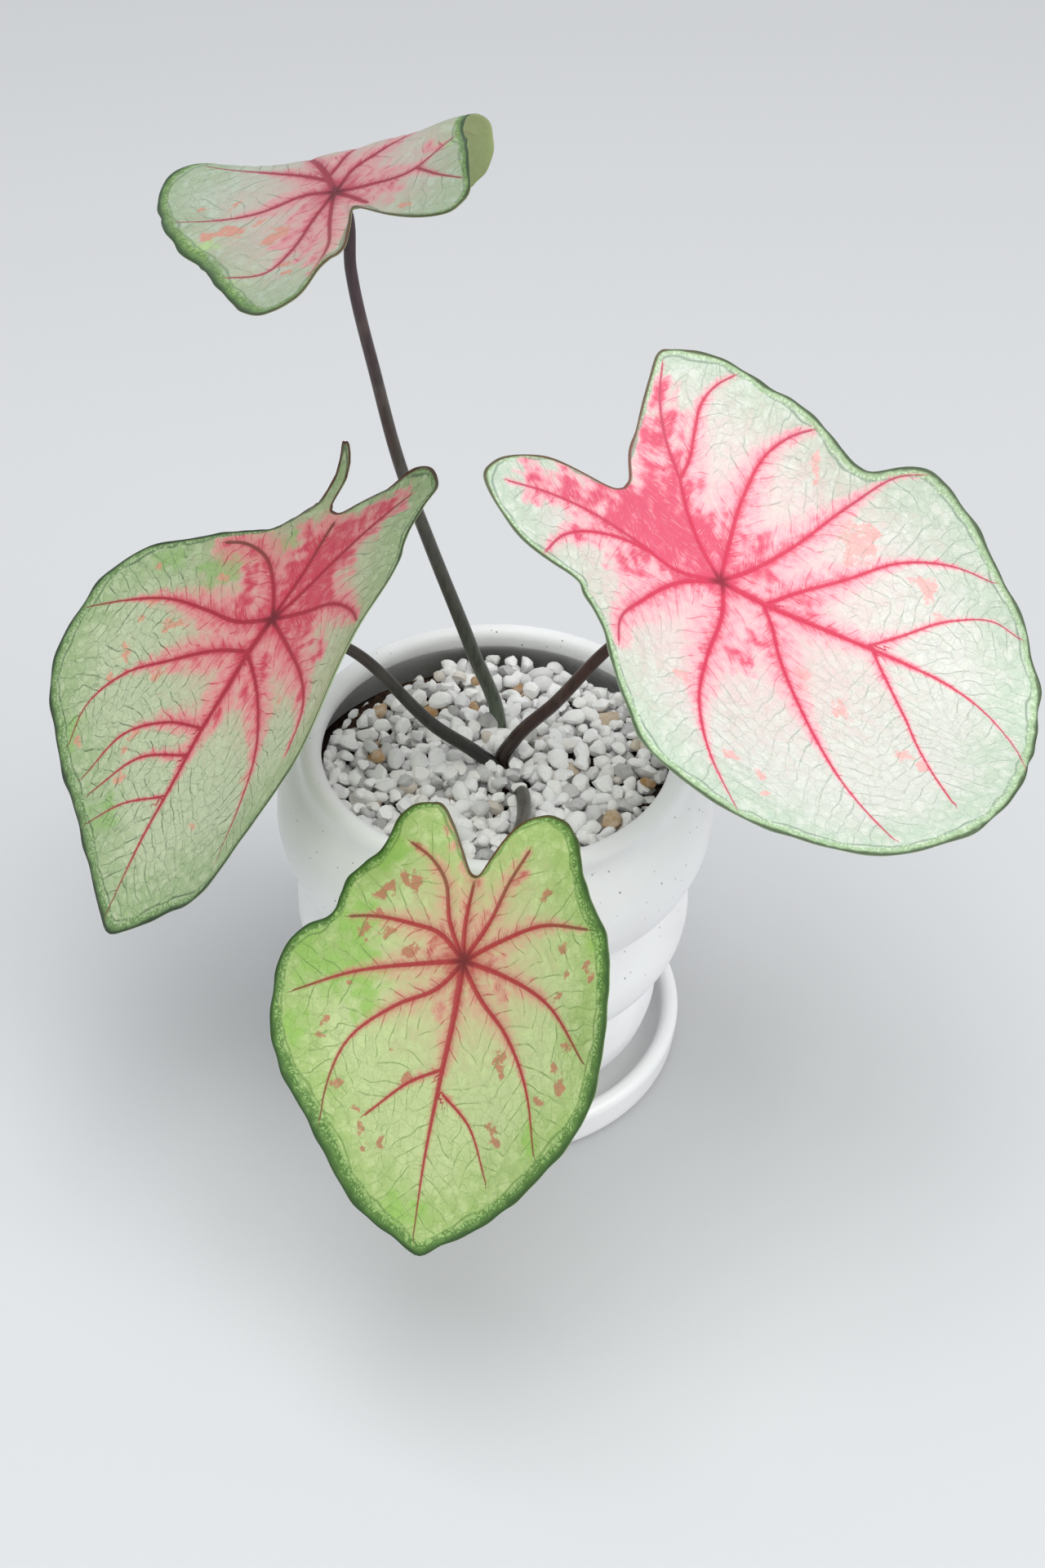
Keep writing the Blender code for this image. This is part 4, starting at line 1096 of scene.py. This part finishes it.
def gravel_finish():
    """Porous off-white and grey stones, a few of them tan or rust, each of its own tone, with small pits darkened by
    painted shade.
    """
    finish = Finish("pumice", roughness=0.9, specular=0.25)
    at = finish.place()
    stone = finish.field("stone")
    ramp = finish.tree.nodes.new("ShaderNodeValToRGB")
    ramp.color_ramp.interpolation = "LINEAR"
    stops = ((0.0, "#a9a7a8"), (0.12, "#d2d1d2"), (0.28, "#f0eff0"), (0.60, "#fcfbfb"), (0.93, "#f4f2ef"),
             (0.975, "#cdbca6"), (0.993, "#ac8048"))
    elements = ramp.color_ramp.elements
    elements[0].position, elements[0].color = stops[0][0], linear(stops[0][1])
    elements[1].position, elements[1].color = stops[-1][0], linear(stops[-1][1])
    for position, code in stops[1:-1]:
        made = elements.new(position)
        made.color = linear(code)
    finish.tree.links.new(stone, ramp.inputs[0])
    mottled = finish.noise(at, 420.0, 4.0, roughness=0.7)
    base = finish.mix(finish.step(mottled, 0.35, 0.65, 0.0, 0.30), ramp.outputs[0], linear("#e6e3de"))
    pits = finish.cells(at, 900.0)
    pit_and_its_shade = finish.step(finish.math("ADD", pits, finish.math("MULTIPLY", mottled, 0.5)), 0.30, 0.44, 1.0, 0.0)
    # the pits are mixed towards grey: painted shade inside the pores; the bump below sinks the same pits
    base = finish.mix(finish.math("MULTIPLY", pit_and_its_shade, 0.22), base, linear("#8a8683"))
    finish.set("Base Color", base)
    relief = finish.math("SUBTRACT", finish.noise(at, 700.0, 5.0, roughness=0.7), finish.math("MULTIPLY", pit_and_its_shade, 0.6))
    finish.bump(relief, 0.45, 0.0006)
    return finish.material


def soil_mesh():
    """Potting mix that fills the pot and rises a little at the wall where no stones lie on it.

    Its top is a sum of small waves, plus a smooth bank over the two bare places.
    """
    rings = np.concatenate([np.linspace(1.0, 47.5, 60), [48.4]])
    steps = 300
    angle = np.arange(steps) * math.tau / steps
    radius, turn = np.meshgrid(rings, angle, indexing="ij")
    x, y = radius * np.cos(turn), radius * np.sin(turn)
    rough = 0.5 * np.sin(1.9 * x + 0.7 * y) * np.sin(1.6 * y - 0.5 * x) + 0.35 * np.sin(3.7 * x - 1.9 * y) * np.sin(3.3 * y + x)
    rough += 0.25 * np.sin(6.1 * x + 2.2 * y + 1.0) * np.sin(5.3 * y - 3.1 * x)
    bearing = np.degrees(turn)
    bank = np.exp(-(((bearing - 332) / 22) ** 2)) + np.exp(-(((bearing - 136) / 26) ** 2))
    height = SOIL_LEVEL + rough + 3.6 * bank * smoothstep(radius, 40, 47)
    height = height - 1.2 * smoothstep(radius, 47.4, 48.4)
    top = np.stack([x, y, height], axis=-1)
    wall = inner_tiers(10)
    wall = wall[wall[:, 1] < SOIL_LEVEL - 1.5] - np.array([GAP, 0.0])
    floor = POT_FLOOR_THICKNESS + SAUCER_FLOOR + 2 * GAP
    wall[:, 1] = np.maximum(wall[:, 1], floor)
    wall = np.concatenate([wall, [(20.0, floor), (1.0, floor)]])
    grid = np.concatenate([top, revolved(wall, steps)])
    return surface_mesh("potting_mix", grid[:, ::-1][:, ::-1], [(0, 0, SOIL_LEVEL), (0, 0, floor)])


def soil_finish():
    """Dark crumbly mix with lighter fibres."""
    finish = Finish("potting_mix", roughness=0.95, specular=0.15)
    at = finish.place()
    crumbs = finish.noise(at, 520.0, 5.0, roughness=0.75)
    base = finish.mix(finish.step(crumbs, 0.35, 0.7), linear("#2c211b"), linear("#5a4334"))
    fibres = finish.step(finish.noise(finish.node("ShaderNodeMapping", {"Vector": at, "Scale": (260.0, 900.0, 400.0)}), 1.0, 2.0),
                         0.66, 0.70)
    finish.set("Base Color", finish.mix(finish.math("MULTIPLY", fibres, 0.6), base, linear("#9a7a58")))
    finish.bump(crumbs, 1.0, 0.0018)
    return finish.material


def tuber_finish():
    """Rough brown skin, for the tuber under the stones."""
    finish = Finish("tuber_skin", roughness=0.85, specular=0.2)
    at = finish.place()
    bark = finish.noise(at, 260.0, 4.0, roughness=0.7)
    finish.set("Base Color", finish.mix(finish.step(bark, 0.35, 0.65), linear("#4a3022"), linear("#7b573c")))
    finish.bump(bark, 0.7, 0.001)
    return finish.material


def add_floor():
    """A plain pale floor under the saucer."""
    mesh = bpy.data.meshes.new("floor")
    side = 3.0
    mesh.from_pydata([(-side, -side, 0), (side, -side, 0), (side, side, 0), (-side, side, 0)], [], [(0, 1, 2, 3)])
    floor = bpy.data.objects.new("floor", mesh)
    bpy.context.scene.collection.objects.link(floor)
    finish = Finish("pale_floor", roughness=0.75, specular=0.2)
    finish.set("Base Color", linear("#c1c2c3"))
    mesh.materials.append(finish.material)


def add_light(name, place, target, side, power, colour):
    """A square lamp of the given side in metres that faces the target."""
    lamp = bpy.data.lights.new(name, "AREA")
    lamp.shape = "SQUARE"
    lamp.size = side
    lamp.energy = power
    lamp.color = colour
    holder = bpy.data.objects.new(name, lamp)
    holder.location = place
    holder.rotation_euler = (Vector(target) - Vector(place)).to_track_quat("-Z", "Y").to_euler()
    bpy.context.scene.collection.objects.link(holder)


def add_lights():
    """Soft daylight from the right, a weaker one from above, a faint fill from the left and a pale room."""
    target = (0.0, 0.0, 0.12)
    add_light("window", (1.7, -0.8, 1.6), target, 1.7, 26.0, (1.0, 0.995, 0.985))
    add_light("sky", (-0.1, -0.25, 1.9), target, 1.5, 24.0, (0.98, 0.99, 1.0))
    add_light("fill", (-1.0, -1.5, 1.2), target, 1.6, 9.0, (0.97, 0.985, 1.0))
    room = bpy.data.worlds.new("room")
    room.use_nodes = True
    room.node_tree.nodes["Background"].inputs["Color"].default_value = (0.87, 0.89, 0.93, 1.0)
    room.node_tree.nodes["Background"].inputs["Strength"].default_value = 0.68
    bpy.context.scene.world = room


def add_camera():
    """The photograph's view: from the front and above, turned and rolled a little."""
    pitch, yaw, roll = (math.radians(angle) for angle in (CAMERA_PITCH, CAMERA_YAW, CAMERA_ROLL))
    ahead = Vector((math.sin(yaw) * math.cos(pitch), math.cos(yaw) * math.cos(pitch), -math.sin(pitch)))
    level = Vector((math.cos(yaw), -math.sin(yaw), 0.0))
    above = level.cross(ahead)
    right = math.cos(roll) * level + math.sin(roll) * above
    above = -math.sin(roll) * level + math.cos(roll) * above
    camera = bpy.data.cameras.new("camera")
    camera.lens = CAMERA_LENS
    camera.sensor_fit = "VERTICAL"
    camera.sensor_height = CAMERA_FILM
    camera.clip_start = 0.01
    holder = bpy.data.objects.new("camera", camera)
    turn = Matrix((right, above, -ahead)).transposed()
    holder.matrix_world = Matrix.Translation(CAMERA_PLACE) @ turn.to_4x4()
    bpy.context.scene.collection.objects.link(holder)
    bpy.context.scene.camera = holder


def add_plant():
    stalks = {
        "right": ("#1d1816", "#452c27", "#4a2a2a"),
        "left": ("#1a1a18", "#33332e", "#43342e"),
        "front": ("#45473f", "#4c483f", "#5c4a42"),
        "top": ("#5c6656", "#48473f", "#402b33"),
    }
    for name, leaf in LEAVES.items():
        add_piece("blade_" + name, blade_mesh(name, leaf), blade_finish(name, TINTS[name]),
                  "leaf_" + name)
        add_piece("stalk_" + name, stalk_mesh(name, leaf), stalk_finish(name, *stalks[name]),
                  "petiole_" + name)


def add_pot():
    add_piece("pot_body", pot_mesh(), pot_finish(), "pot")
    add_piece("saucer_dish", saucer_mesh(), saucer_finish(), "saucer")
    add_piece("pumice", gravel_mesh(), gravel_finish(), "gravel")
    add_piece("potting_mix", soil_mesh(), soil_finish(), "soil")
    skin = tuber_finish()
    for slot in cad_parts["tuber"].material_slots:
        slot.material = skin


add_camera()
add_floor()
add_lights()
add_plant()
add_pot()
bpy.context.scene.view_settings.view_transform = "Standard"
